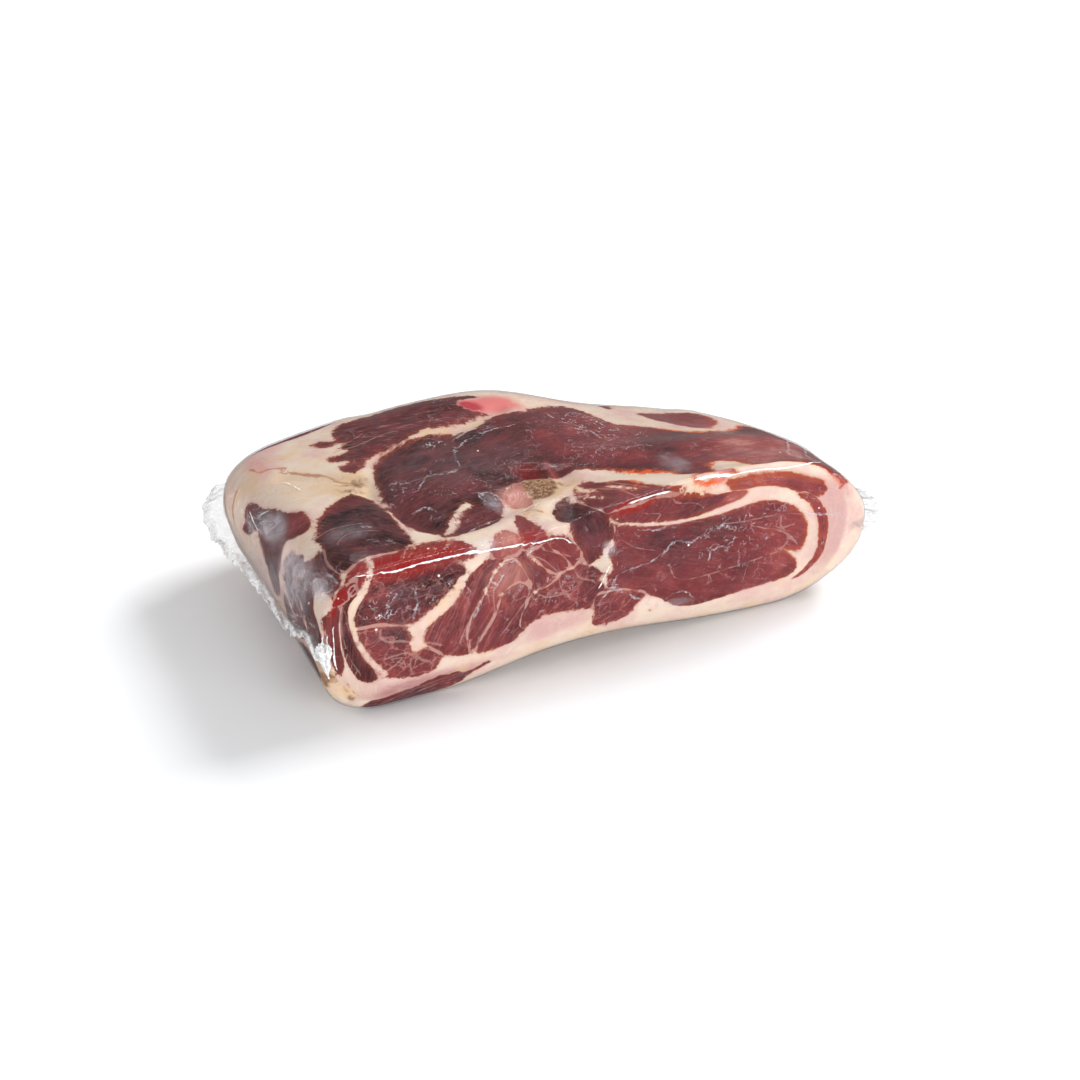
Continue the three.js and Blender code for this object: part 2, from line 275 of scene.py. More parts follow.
# Patches painted one over another. Lean: name, tone from dark to bright, marbling, fibre angle,
# fibre stretch, outline. Fat: name and outline only.
patches = [
    ("left end muscle", 0.2, 0.1, 20, 4, [(-3, 91), (2, 87), (3, 81), (8, 75), (12, 67), (17, 61), (17, 54),
     (14, 48.5), (8, 48), (2, 52), (-7, 52), (-16, 50), (-24, 48.5), (-31, 52), (-30, 58), (-20, 61),
     (-14, 68), (-10, 75), (-15, 80), (-17, 86), (-12, 86.5), (-7, 90)]),
    ("left fold muscle", 0.26, 0.1, 60, 5, [(-30, 45.5), (-22, 42.5), (-12, 46), (-2, 44), (2, 38), (0, 33),
     (6, 31), (12, 31), (13, 24), (10, 13), (8, 7), (2, 7), (-2, 12), (-7, 16.5), (-15, 15), (-19, 9),
     (-25, 5), (-31, 12), (-34, 22), (-38, 33), (-38, 42)]),
    ("low left streak", 0.22, 0.1, 70, 6, [(-43, 9), (-39, 20), (-41, 30), (-46, 38), (-49, 46), (-56, 50),
     (-61, 46), (-57, 34), (-52, 23), (-47, 13)]),
    ("left foot", 0.25, 0.1, 85, 6, [(-60, 126), (-56, 104), (-53, 82), (-55, 62), (-60, 57), (-66, 80),
     (-66, 120)]),
    ("back corner band", 0.4, 0.1, -10, 6, [(26, 126), (33, 122.5), (40, 122), (48, 121.5), (56, 122.5),
     (66, 127), (70, 140), (50, 146), (28, 140)]),
    ("streaky back muscle", 0.24, 0.2, -14, 7, [(45.5, 108.5), (50, 108), (54, 105), (57, 110), (61, 116),
     (68, 118), (77, 119), (88, 121), (97, 121), (106, 120), (114, 117), (122, 113), (128, 109), (121, 108),
     (113.5, 107), (112.5, 102), (115, 98), (121, 96), (113, 94.3), (108, 92.6), (101, 91.4), (94, 91.6),
     (88, 93), (81, 91.4), (76, 89.8), (68, 87.2), (62, 86), (56, 84), (51.5, 79.5), (47, 77), (44, 81),
     (44.5, 85), (50, 85.5), (44, 90), (43.5, 92.5), (48, 94), (54, 94.5), (50.5, 97.5), (56, 99.5),
     (52.5, 101.5), (47.5, 102), (45, 105.5)]),
    ("shoulder muscle", 0.2, 0.06, 14, 4, [(47, 57), (49.5, 62), (51, 68), (54, 74.5), (58, 81.5),
     (64, 85.2), (72, 87.6), (82, 89), (92, 88), (97, 86.2), (104, 85.2), (110, 88), (118, 93), (126, 95),
     (136, 95), (146, 98), (156, 101.5), (163, 101.5), (165, 95), (163.5, 88), (164.5, 80.5), (170, 78.5),
     (175, 75.5), (182, 68), (190, 65), (200, 65.5), (207, 68), (214, 73), (222, 69), (228, 56), (233, 40),
     (235, 24), (236, 10), (230, 4), (222, 5), (213, 6.5), (208, 7), (198, 8.6), (187, 13), (178, 18.6),
     (172, 21), (168, 19), (171, 10), (176, 5.4), (170, 6.5), (165, 13), (158, 15), (152, 22), (145, 26),
     (135, 31), (127, 35.5), (121, 39.5), (114, 41.5), (109, 43), (104, 43), (98, 41.5), (93, 40.5),
     (88, 34.5), (84, 27), (80, 21.5), (72, 19), (63, 16), (56, 16), (50, 22), (47, 28), (45, 34), (45, 42),
     (47, 50)]),
    ("salmon island", [(113, 106.5), (118, 109), (124, 108.6), (130, 106), (134.5, 102.5), (137.5, 98),
     (136, 94), (130, 92.6), (123, 94.4), (117, 96.8), (113.5, 100.5), (112, 104)]),
    ("fat island", [(46, 16), (51, 14.5), (55, 16.5), (54.5, 20.5), (50.5, 23.5), (46.5, 21.5)]),
    ("long fat island", [(57.5, 20), (60, 20.5), (64, 25), (69, 30), (74, 33), (74, 35.5), (71.5, 36.5),
     (67, 32), (62, 27), (58.5, 23)]),
    ("front lobe", 0.08, 0.06, -50, 4, [(38, 62), (42, 59.5), (44, 52), (44, 44), (43.5, 34), (43.5, 24),
     (43, 16.5), (38, 15), (30, 15), (21, 14.5), (14, 12), (10.5, 15), (10, 22), (12, 30), (13, 37),
     (15, 43), (17, 48.5), (20, 52.5), (26, 57.5), (32, 61)]),
    ("edge band", 0.5, 0.3, 60, 5, [(11, 6), (15, 11), (20, 13.8), (26, 14.3), (33, 13.3), (40, 14.8),
     (50, 13.8), (58, 12.5), (61, 8), (64, 4.5), (58, 2.5), (45, 2.5), (30, 2.5), (20, 1), (13, 3)]),
    ("back right muscle", 0.56, 0.1, -60, 5, [(189, 97), (193, 99), (199, 98), (206, 95), (211, 90),
     (208, 80), (203, 75), (197, 71.5), (192, 73.5), (189, 80), (187, 88)]),
    ("back streak", 0.3, 0.1, 60, 6, [(182, 104), (188, 108), (194, 116), (200, 128), (203, 140), (199, 142),
     (194, 128), (188, 116)]),
    ("joint strips", 0.46, 0.2, -45, 5, [(111.5, 23), (116, 29), (120, 31), (126, 27), (132, 22.5),
     (139, 14), (145, 7.5), (153, 4.6), (146, 3), (135, 3), (124, 3), (115, 4), (113, 10), (112.5, 16)]),
    ("joint pocket", 0.0, 0.0, 0, 2, [(98, 45.5), (100.5, 49), (104.5, 51), (108.5, 51), (110.5, 46.5),
     (109.5, 39.5), (106, 41.5), (101.5, 43.5)]),
    ("joint rim", 0.8, 0.0, 0, 2, [(111, 51.5), (113, 49), (114, 44), (112, 39.5), (110.6, 41),
     (111.4, 46)]),
    ("pink joint skin", 0.95, 0.0, 40, 3, [(88, 34.5), (93, 40), (97, 40.5), (96.5, 34), (97, 29), (94, 26),
     (89, 28.5), (87, 31)]),
    ("round muscle", 0.2, 0.55, 40, 1.4, [(19, 1), (30, 2.6), (45, 2.6), (55, 2), (57, -5), (53, -13),
     (46, -18), (40, -21), (36, -24), (30, -23), (22, -20.5), (14, -20), (11.5, -16), (14, -9), (17, -4)]),
    ("lower round muscle", 0.44, 1.0, 20, 1.3, [(12.5, -21.2), (20, -21.2), (28, -23.8), (34, -26),
     (36, -30), (33, -33), (37, -37), (44, -37.5), (47, -42), (44, -48), (38, -49.5), (30, -48), (22, -44),
     (17, -40), (13.5, -34), (11, -27)]),
    ("slanting muscle", 0.38, 0.5, 62, 6, [(61, -8), (57, -16), (52, -22), (46, -26), (42, -29), (41, -33),
     (43, -38), (47, -41), (52, -43.5), (59, -45), (58, -37), (59, -30), (62.5, -22), (66.5, -13), (72, -3),
     (76, 1), (70, 2), (65, -2)]),
    ("slanting strip", 0.44, 0.4, 60, 5, [(62, -26), (66, -20.5), (70.5, -23), (70.5, -29), (67, -35),
     (62.5, -43), (59, -44), (58, -36), (59.5, -31)]),
    ("pink wedge", 0.66, 0.1, 70, 6, [(76.5, -1.5), (79, -4), (82, -13), (84.5, -21), (80, -18), (75, -19),
     (69, -21.5), (67, -20), (71, -11), (74, -4)]),
    ("dark lobe", 0.36, 0.3, 65, 4, [(76, -20.5), (80, -18), (84, -22), (84, -28), (84, -35), (83, -42),
     (78, -47), (70, -48), (62, -46), (64, -40), (68.5, -34), (71.5, -27)]),
    ("marbled lobe", 0.38, 0.6, 30, 1.5, [(84, -28), (90, -26), (94, -24), (99, -20.5), (104, -20),
     (107, -18), (109, -21.5), (112, -25), (117, -28.5), (115, -31), (118, -37), (113, -43), (106, -42),
     (99, -40), (91, -39), (86, -40), (81, -42.5), (81, -36), (83, -31)]),
    ("upper strip one", 0.47, 0.1, -65, 5, [(78, 2), (83, 3), (85, -4), (88, -11), (92, -17), (96, -20.5),
     (92, -23.5), (86, -23), (84.5, -19), (82.5, -12), (80, -5)]),
    ("upper strip two", 0.45, 0.1, -65, 5, [(84.5, 4), (92, 4), (95, -3), (98.5, -10), (101, -16), (98, -19),
     (94, -17.5), (90, -11), (87, -4)]),
    ("upper strip three", 0.47, 0.1, -65, 5, [(93.5, 4), (99, 3), (103, 0), (105, -7), (107, -14),
     (104, -18.5), (101.5, -16), (99, -10), (95.5, -3)]),
    ("edge strip", 0.5, 0.1, 80, 4, [(83, 2), (84, 12), (86, 20.5), (89.5, 16), (92.5, 8), (93, 3)]),
    ("pale edge strip", 0.8, 0.1, 80, 3, [(70, 1), (72, 8), (77, 12), (80.5, 11), (82, 7), (81.5, 1)]),
    ("joint hollow", 0.16, 0.0, -70, 4, [(102, 9), (101, 15), (102, 20), (105, 23), (109.5, 19.5),
     (113, 12.5), (116.5, 6.5), (120, 1), (121, -5), (119.5, -11), (116.5, -15), (115, -21), (112, -23.5),
     (109.5, -20), (107.5, -13), (105.5, -6), (104, 0)]),
    ("large round muscle", 0.42, 0.12, -20, 4, [(121.5, 0), (124, -2.5), (128, -6), (133, -9), (140, -12.3),
     (148, -14.2), (158, -15), (168, -15), (178, -13.5), (185, -12.3), (192, -13), (200, -16.5),
     (206, -21.5), (209, -28), (208.5, -34), (206, -38.3), (202, -37), (198, -36.2), (203, -40),
     (206.5, -45), (206, -50.5), (198, -53.5), (188, -54.5), (178, -56.5), (170, -58.5), (162, -60.5),
     (154, -60), (149, -56), (145, -50.5), (140, -46.5), (133, -42.5), (127, -39.5), (119, -37.5),
     (118.5, -32), (121, -27), (119.5, -20), (121, -12), (121.5, -6)]),
    ("upper band", 0.33, 0.2, 35, 3, [(119, 4), (130, 4), (142, 4), (152, 2.5), (165, 0), (173, -1),
     (179.5, -2), (179, -6), (175, -9), (168, -10.7), (158, -12.7), (148, -12), (140, -9.6), (132, -6.2),
     (127, -2), (122.5, 1)]),
    ("right strip", 0.56, 0.1, -10, 5, [(170.5, 3), (176, 3.4), (184, 3.6), (196, 3.2), (203, 2.4),
     (212, 1.5), (221.5, 0.7), (223.5, -4), (219.5, -9.5), (214, -12.6), (208, -12), (202.5, -8.5),
     (196, -4.5), (191, -1.9), (184, -0.2), (178.5, -1.5), (173, 0.6)]),
    ("right corner strip", 0.6, 0.1, -10, 5, [(224, 5), (230, 3.5), (236, 2), (240, -3), (238, 4), (240, 12),
     (232, 9)]),
    ("curved strip", 0.64, 0.1, -80, 5, [(203, -10.5), (209, -9.8), (214.5, -13), (219.5, -20), (222.3, -30),
     (222.8, -40), (221, -48), (216, -54), (210, -57.2), (206.5, -56), (211, -52.5), (215.5, -46),
     (216.7, -38), (215.7, -30), (213, -22), (208.5, -15.5)]),
    ("lower marbled lobe", 0.44, 0.8, 50, 2, [(113, -38.5), (118, -37.5), (125, -38.5), (132, -41),
     (136, -44), (132.5, -48.5), (130, -55), (125.5, -60.5), (119, -62.5), (114, -59.5), (112.8, -50)]),
    ("edge layer", 0.16, 0.0, 84, 9, [(7, 3), (12, 5), (15.5, 5.5), (13.5, 1.5), (9.3, -3), (7.8, -9),
     (8.3, -17), (10.5, -24.6), (13.6, -31), (17.3, -37), (20.5, -42.5), (20, -46), (15.5, -46), (10.5, -42),
     (6, -35), (3.6, -27), (3, -16), (3.2, -6)]),
    ("outer edge layer", 0.28, 0.0, 88, 9, [(-1, 3), (3, 3), (2.5, -8), (2, -18), (1.8, -28), (3.4, -36),
     (-1, -38)]),
    ("left corner layer", 0.3, 0.0, 4, 9, [(10, 5), (2, 4), (-8, 3), (-16, 4), (-24, 3.6), (-32, 2.5),
     (-38, 1.8), (-38, -1), (0, -1), (8, 0)]),
    ("dark foot", 0.32, 0.1, 5, 6, [(14, -63), (26, -60.5), (36, -57.5), (44, -54.5), (51, -53.8), (56, -56),
     (60, -58.5), (66, -55.5), (67.5, -58), (62, -62), (50, -66), (30, -69), (14, -69)]),
    ("right end layer", 0.5, 0.1, 88, 6, [(262, 20), (268, 50), (262, 84), (256, 84), (258, 50), (254, 22)]),
    ("underside muscle", 0.3, 0.2, 8, 6, [(60, -120), (110, -112), (150, -122), (140, -140), (90, -142),
     (58, -134)]),
]

# wide fat seams drawn over the muscles: half width, path
fatSeams = [
    (1.8, [(36, -28), (37, -32), (36.5, -36)]),
    (1.4, [(57, -8), (52, -15), (46, -20.5), (40, -24.5), (35, -26.5)]),
    (1.1, [(23.5, 14), (22.5, 9), (20, 4), (16, -1), (12.5, -7), (10.6, -14), (11, -21), (13, -27), (16, -33),
           (19.5, -38.5), (24, -44)]),
    (0.7, [(111.5, 28), (115, 25), (119, 21.5), (127.5, 19.4), (134, 13)]),
    (0.6, [(113, 20), (116, 18), (120, 14)]),
    (0.7, [(6.5, 38), (3, 43), (-6, 47), (-16, 45.5), (-24, 41), (-31, 33)]),
    (0.5, [(-4, 30), (-14, 33), (-24, 27), (-30, 18)]),
    (0.05, [(32, 13.5), (36.5, 8.5)]),
    (0.1, [(36.5, 14), (42, 8)]),
    (0.05, [(41.5, 14.5), (46, 9)]),
    (0.05, [(46.5, 14), (50, 9)]),
    (0.0, [(52, 13), (56, 8.5)]),
]

# thin pale lines in the lean: half width, path
paleLines = [
    (0.4, [(12, -20.5), (20, -20.5), (27, -22.5), (33, -25), (37, -25)]),
    (0.35, [(37, -34), (42, -35), (47, -37.5)]),
    (0.3, [(36, -35), (31, -36.5), (24, -37)]),
    (0.35, [(36.5, -36), (38, -41), (43, -44)]),
    (0.4, [(35, -33), (31, -31), (25, -30)]),
    (0.25, [(36, -37), (34, -42), (35, -47)]),
    (0.25, [(34, -36), (28, -41), (22, -43)]),
    (0.2, [(25, -30), (22, -26), (23, -22)]),
    (0.3, [(76, -1), (70, -10), (64, -22), (58, -32), (55, -38)]),
    (0.25, [(69, -22), (69.5, -30), (66, -36), (62, -42)]),
    (0.2, [(85, -22), (83, -28), (78, -35), (73, -41)]),
    (0.2, [(97, -21), (98, -28), (102, -34)]),
    (0.2, [(88, -27), (92, -30), (98, -31), (104, -30)]),
    (0.2, [(104, -22), (107, -27), (113, -31)]),
    (0.2, [(90, 2), (96, -6), (102, -12)]),
    (0.2, [(84, 0), (90, -8), (96, -18)]),
    (0.3, [(196, -22), (196, -27), (200, -30), (204, -34)]),
    (0.2, [(193, -29), (196, -27), (201, -26)]),
    (0.2, [(200, -30), (199, -34), (195, -36)]),
    (0.1, [(184, -24), (190, -26), (196, -27)]),
    (0.05, [(146, -34), (150, -40), (160, -41), (180, -39), (200, -36)]),
    (0.05, [(168, -20), (180, -21), (196, -20.5), (206, -22)]),
    (0.05, [(124, -14), (130, -20), (138, -24)]),
    (0.25, [(120, 22), (128, 16), (133, 5)]),
    (0.2, [(126, 25), (133, 18), (138, 12)]),
    (0.15, [(135, 0), (141, -4), (139, -9)]),
    (0.15, [(148, 1), (156, -3), (160, -8)]),
    (0.05, [(57, 58), (68, 58), (80, 58)]),
    (0.1, [(52, 103), (58, 101), (66, 103)]),
    (0.15, [(50, 97), (60, 96), (70, 98), (78, 98)]),
    (0.1, [(14, 40), (22, 42), (31, 38)]),
    (0.1, [(18, 30), (24, 34), (34, 30)]),
    (0.05, [(5.2, 0), (4.6, -12), (5, -24), (8, -33), (13, -41)]),
    (0.1, [(2.9, -2), (2.4, -12), (2.6, -24), (5, -35), (9, -41)]),
    (0.1, [(20, -66), (34, -61.5), (48, -57.5), (58, -58)]),
    (0.05, [(28, -66), (40, -63), (56, -61)]),
]

# thin lean streaks drawn over the fat: half width, tone, path
leanStreaks = [
    (0.7, 0.6, [(4, -45), (6, -50), (8.5, -54)]),
    (1.6, 0.3, [(-31, 1), (-20, 1.6), (-10, 1.4), (-1, 1.6), (8, 3), (15, 6)]),
    (1.8, 0.3, [(-14.5, 4.6), (-18, 4)]),
    (1.0, 0.5, [(24, 126), (31, 127.5), (38, 128.5)]),
    (0.9, 0.6, [(-11, 116), (-17, 107), (-24, 102)]),
    (0.6, 0.75, [(139, -56), (138.5, -58)]),
    (0.35, 0.9, [(156.4, 8), (157.5, 5), (161, 3.9), (165, 3.8), (169, 3.9)]),
    (0.35, 0.9, [(158, 11), (161.3, 11), (165.5, 9.5), (169.6, 6.6)]),
]

# thin brown lines in the fat: half width, path
creaseLines = [
    (0.3, [(24, 95), (26.8, 92.2), (31.8, 86.8), (37.2, 80.6), (39.8, 74.4), (43.4, 71)]),
    (0.3, [(15.3, 110), (17, 103.5), (22.1, 101.3), (26.5, 97.9)]),
    (0.15, [(70, 4), (76, 9), (81, 9)]),
    (0.15, [(-2, 104), (-12, 100), (-22, 92)]),
]

# soft stains, one of them partly painted shade. For each field: its value elsewhere, and the strength, centre
# and half sizes of each stain
stains = dict(
    tone=(0.5, [(0.12, (42, -9), (18, 12)), (0.12, (8, -20), (8, 30)), (0.55, (24, -6), (10, 6)),
        (0.14, (30, -28), (8, 5)), (0.4, (113, -13), (9, 14)), (0.2, (148, -20), (28, 8)),
        (0.58, (200, -30), (16, 22)), (0.46, (175, -48), (34, 8)), (0.85, (176, -6), (9, 8)),
        (0.8, (200, 30), (44, 40)), (0.6, (160, 80), (24, 28)), (0.52, (140, 60), (26, 32)),
        (0.5, (10, 56), (9, 8)), (0.4, (30, 56), (14, 6)), (0.4, (50, -40), (8, 6))]),
    blush=(0.35, [(0.85, (24, 118), (14, 20)), (-0.1, (34, 80), (28, 26)), (0.9, (35, -55), (36, 9)),
        (0.7, (95, -46), (26, 12)), (0.95, (230, -24), (22, 40)), (0.5, (190, -58), (46, 7)),
        (0.0, (58, 4), (14, 12)), (0.0, (144, 18), (26, 14)), (0.3, (190, 10), (24, 9)),
        (0.0, (-52, 14), (16, 22)), (0.1, (48, 20), (9, 8))]),
    salmon=(0, [(1.0, (127, 102), (19, 10)), (1.9, (115, 102), (7, 8)), (0.0, (144, 97), (8, 12)),
        (0.35, (18, 108), (7, 16))]),
    amber=(0, [(0.5, (94, 21), (9, 8)), (1.1, (103, 36), (12, 11)), (0.5, (115, 35), (7, 6)),
        (0.55, (28, 73), (10, 5)), (0.75, (40, 71), (14, 12)), (0.25, (2, 98), (22, 16)),
        (0.32, (28, 80), (22, 16)), (0.7, (-2, -54), (13, 14)), (0.5, (-56, 6), (14, 20)),
        (0.75, (-46, 6), (13, 9)), (0.3, (100, 88), (20, 7)), (0.25, (-54, 14), (14, 20)),
        (0.3, (56, -55), (5, 5)), (0.25, (110, -120), (130, 70))]),
    deep=(0, [(0.5, (104, 47), (8, 7)), (1.1, (36, 7.5), (32, 8)), (1.0, (130, 4), (13, 3)),
        (0.6, (88, 6), (10, 6)), (0.6, (165, 7), (12, 5)), (0.9, (0, 2), (16, 5))]),
    pale=(0, [(0.4, (76, -13), (12, 12)), (0.95, (92, 33), (9, 9)), (0.4, (76, 8), (8, 8))]),
    streak=(0.2, [(0.5, (8, -20), (10, 36)), (1.8, (36, -62), (40, 9)), (1.8, (80, 100), (46, 18)),
        (0.6, (92, -8), (18, 16)), (0.9, (56, -28), (20, 22)), (0.5, (190, 40), (50, 40)),
        (0.5, (30, 10), (30, 8))]),
    rim=(0.25, [(1.3, (184, 40), (74, 62)), (0.5, (60, 90), (50, 30)), (0.15, (36, 6), (32, 16)),
        (0.8, (214, -30), (22, 30)), (0.6, (30, 54), (22, 14))]),
    grow=(0.2, [(1.0, (62, -18), (66, 32)), (0.7, (20, 10), (50, 16)), (0.8, (-16, 40), (28, 40)),
        (0.2, (76, -6), (12, 8)), (0.0, (36, -60), (60, 8))]),
    ragged=(0, [(3.0, (5, 42), (13, 9)), (2.5, (46, 18), (12, 8)), (2.5, (46, 54), (8, 14)),
        (3.0, (112, 28), (12, 10)), (3.0, (67, 28), (13, 12)), (2.0, (108, -2), (12, 16)),
        (2.5, (128, 22), (14, 8)), (1.5, (50, 98), (8, 14)), (1.5, (195, 68), (14, 12)),
        (2.0, (-4, 14), (10, 10)), (2.0, (40, -58), (32, 6)), (1.6, (80, 100), (44, 18))]),
    coarse=(0.6, [(1.0, (60, -22), (60, 34)), (0.3, (165, -34), (50, 26)), (0.9, (80, 102), (46, 16))]),
    orange=(0, [(2.0, (165, 8), (11, 7)), (1.1, (186, 67), (40, 12)), (1.8, (150, 24), (26, 12)),
        (0.6, (228, 6), (14, 10)), (0.35, (46, 13), (16, 5)), (0.5, (196, 12), (22, 8))]),
    grey=(0.2, [(0.9, (36, -8), (22, 12)), (0.7, (30, 38), (16, 22)), (0.5, (76, 62), (40, 34)),
        (0.5, (26, -28), (12, 6)), (0.4, (80, 102), (40, 14)), (0.8, (-6, 66), (16, 24)),
        (0.6, (-24, 26), (16, 22)), (0.4, (150, -24), (40, 10)), (0.6, (112, -2), (10, 16)),
        (0.9, (36, -62), (44, 9))]),
    joined=(0, [(1.0, (106, 45), (14, 10)), (0.8, (-12, 30), (30, 34)), (1.0, (36, 2), (27, 7))]),
    rough=(0.85, [(0.5, (40, -24), (62, 34)), (0.22, (165, -30), (64, 34)), (0.3, (195, 0), (44, 12)),
        (0.7, (95, -24), (24, 20)), (0.25, (14, -20), (12, 34))]),
    # darker mauve-pink fat on the ends and the lower cut face: partly the fat's own colour, partly painted
    # shade
    dusk=(0, [(0.95, (36, -56), (38, 8)), (0.35, (226, -30), (20, 44)), (0.45, (236, -20), (22, 60)),
        (0.5, (0, -52), (12, 16)), (0.3, (96, -46), (30, 10)), (0.5, (-40, 50), (24, 60)),
        (0.35, (14, -44), (12, 16))]),
)
# the values that the meat's finish reads, where "grow" has already widened the fat
meatFieldNames = [name for name in stains if name != "grow"] + ["fat", "marble", "seamSide", "seamNear"]


def spotPart(places, centre, halfSizes, core, fade):
    # 1 in the middle of a soft spot, 0 beyond it
    away = np.linalg.norm((places - centre) / halfSizes, axis=1)
    return 1 - smooth((away - core) / fade)


def muscleFields(places):
    # the nearest muscle and the next one at each place, with the nearest one's look and fibre direction
    count = len(places)
    tone, marble = np.full(count, float(stains["tone"][0])), np.zeros(count)
    fat = np.full(count, farAway)
    grain = np.column_stack([places[:, 0] / 2, places[:, 1], np.zeros(count)])
    first, second = np.full(count, farAway), np.full(count, farAway)
    owner, other = np.full(count, -1), np.full(count, -1)
    for index, (name, *look, outline) in enumerate(patches):
        distance = outlineDistance(places, outline)
        if not look:
            fat = np.maximum(fat, -distance)
            continue
        ownTone, ownMarble, angle, stretch = look
        fat = np.minimum(fat, distance)
        turn = math.radians(angle)
        along = places[:, 0] * math.cos(turn) + places[:, 1] * math.sin(turn)
        across = places[:, 1] * math.cos(turn) - places[:, 0] * math.sin(turn)
        own = np.column_stack([along / stretch, across, np.full(count, hamMeat["fibreApart"] * index)])
        first, second = np.maximum(first, -distance), np.maximum(second, -distance)
        closer, nextCloser = distance < first, distance < second
        other = np.where(closer, owner, np.where(nextCloser, index, other))
        second = np.where(closer, first, np.minimum(second, distance))
        owner = np.where(closer, index, owner)
        first = np.where(closer, distance, first)
        grain = np.where(closer[:, None], own, grain)
        tone = np.where(closer, ownTone, tone)
        marble = np.where(closer, ownMarble, marble)
    seam = (second - first) / 2
    side = np.where(owner > other, 1, -1)
    return dict(fat=fat, tone=tone, marble=marble, seamSide=seam * side, seamNear=seam), grain


def meatFields(places):
    fields = {name: np.full(len(places), float(start)) for name, (start, _) in stains.items()}
    muscles, grain = muscleFields(places)
    fields.update(muscles)
    for name, (_, spots) in stains.items():
        for strength, centre, halfSizes in spots:
            part = spotPart(places, centre, halfSizes, 0.35, 0.75)
            fields[name] += (strength - fields[name]) * part
    fields["fat"] -= fields.pop("grow")
    for width, path in fatSeams:
        fields["fat"] = np.maximum(fields["fat"], width - pathDistance(places, smoothPath(path)))
    for width, tone, path in leanStreaks:
        distance = pathDistance(places, smoothPath(path)) - width
        fields["fat"] = np.minimum(fields["fat"], distance)
        fields["tone"] = np.where(distance < 0.5, tone, fields["tone"])
    for name, lines in (("line", paleLines), ("crease", creaseLines)):
        fields.update(strokeFields(places, name, lines))
    return fields, grain


# Making a block of even cells, keeping values on its points and finishing a piece

blockCells = (214, 124, 56)


def select(piece):
    bpy.ops.object.select_all(action="DESELECT")
    piece.select_set(True)
    bpy.context.view_layer.objects.active = piece


def startPiece(name):
    # names the primitive that was just added, and moves its place into its mesh
    piece = bpy.context.object
    piece.name = piece.data.name = name
    bpy.ops.object.transform_apply(location=True)
    return piece


def cellBlock(name, cells):
    bpy.ops.object.select_all(action="DESELECT")
    bpy.ops.mesh.primitive_cube_add(size=1, location=(0.5, 0.5, 0.5))
    block = startPiece(name)
    bpy.ops.object.mode_set(mode="EDIT")
    bpy.ops.mesh.select_mode(type="EDGE")
    for axis, count in enumerate(cells):
        bpy.ops.mesh.select_all(action="DESELECT")
        mesh = bmesh.from_edit_mesh(block.data)
        for edge in mesh.edges:
            run = edge.verts[1].co - edge.verts[0].co
            if abs(run[axis]) > 0.5 * run.length:
                edge.select_set(True)
        bmesh.update_edit_mesh(block.data)
        bpy.ops.mesh.subdivide(number_cuts=count - 1)
    bpy.ops.object.mode_set(mode="OBJECT")
    return block


def readPoints(values, count, name):
    points = np.empty(count * 3, np.float32)
    values.foreach_get(name, points)
    return points.reshape(-1, 3).astype(float)


def pointsOf(piece):
    return readPoints(piece.data.vertices, len(piece.data.vertices), "co")


def outwardNormals(piece):
    piece.data.update()
    return readPoints(piece.data.vertices, len(piece.data.vertices), "normal")


def placePoints(piece, points):
    frameShift = np.array([*hamShape["zero"], 0])
    moved = (points + frameShift) / 1000
    piece.data.vertices.foreach_set("co", moved.astype(np.float32).ravel())
    piece.data.update()


def keepField(piece, name, values, kind="FLOAT", key="value"):
    attribute = piece.data.attributes.new(name, kind, "POINT")
    attribute.data.foreach_set(key, values.astype(np.float32).ravel())


def hamBlock(name):
    # a block in the ham's form, its points before they are moved in or out, and the places on the sheet
    block = cellBlock(name, blockCells)
    cube = np.clip(pointsOf(block), 0, 1)
    base = hamForm(cube)
    placePoints(block, base)
    return block, cube, base, outwardNormals(block), sheetPlaces(cube)


def finishPiece(piece, material):
    select(piece)
    bpy.ops.object.shade_smooth()
    piece.data.materials.append(material)
    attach(piece, "root")
    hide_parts("vacuum_packed_ham")
    print(piece.name, len(piece.data.polygons), "faces")


# Node shorthand


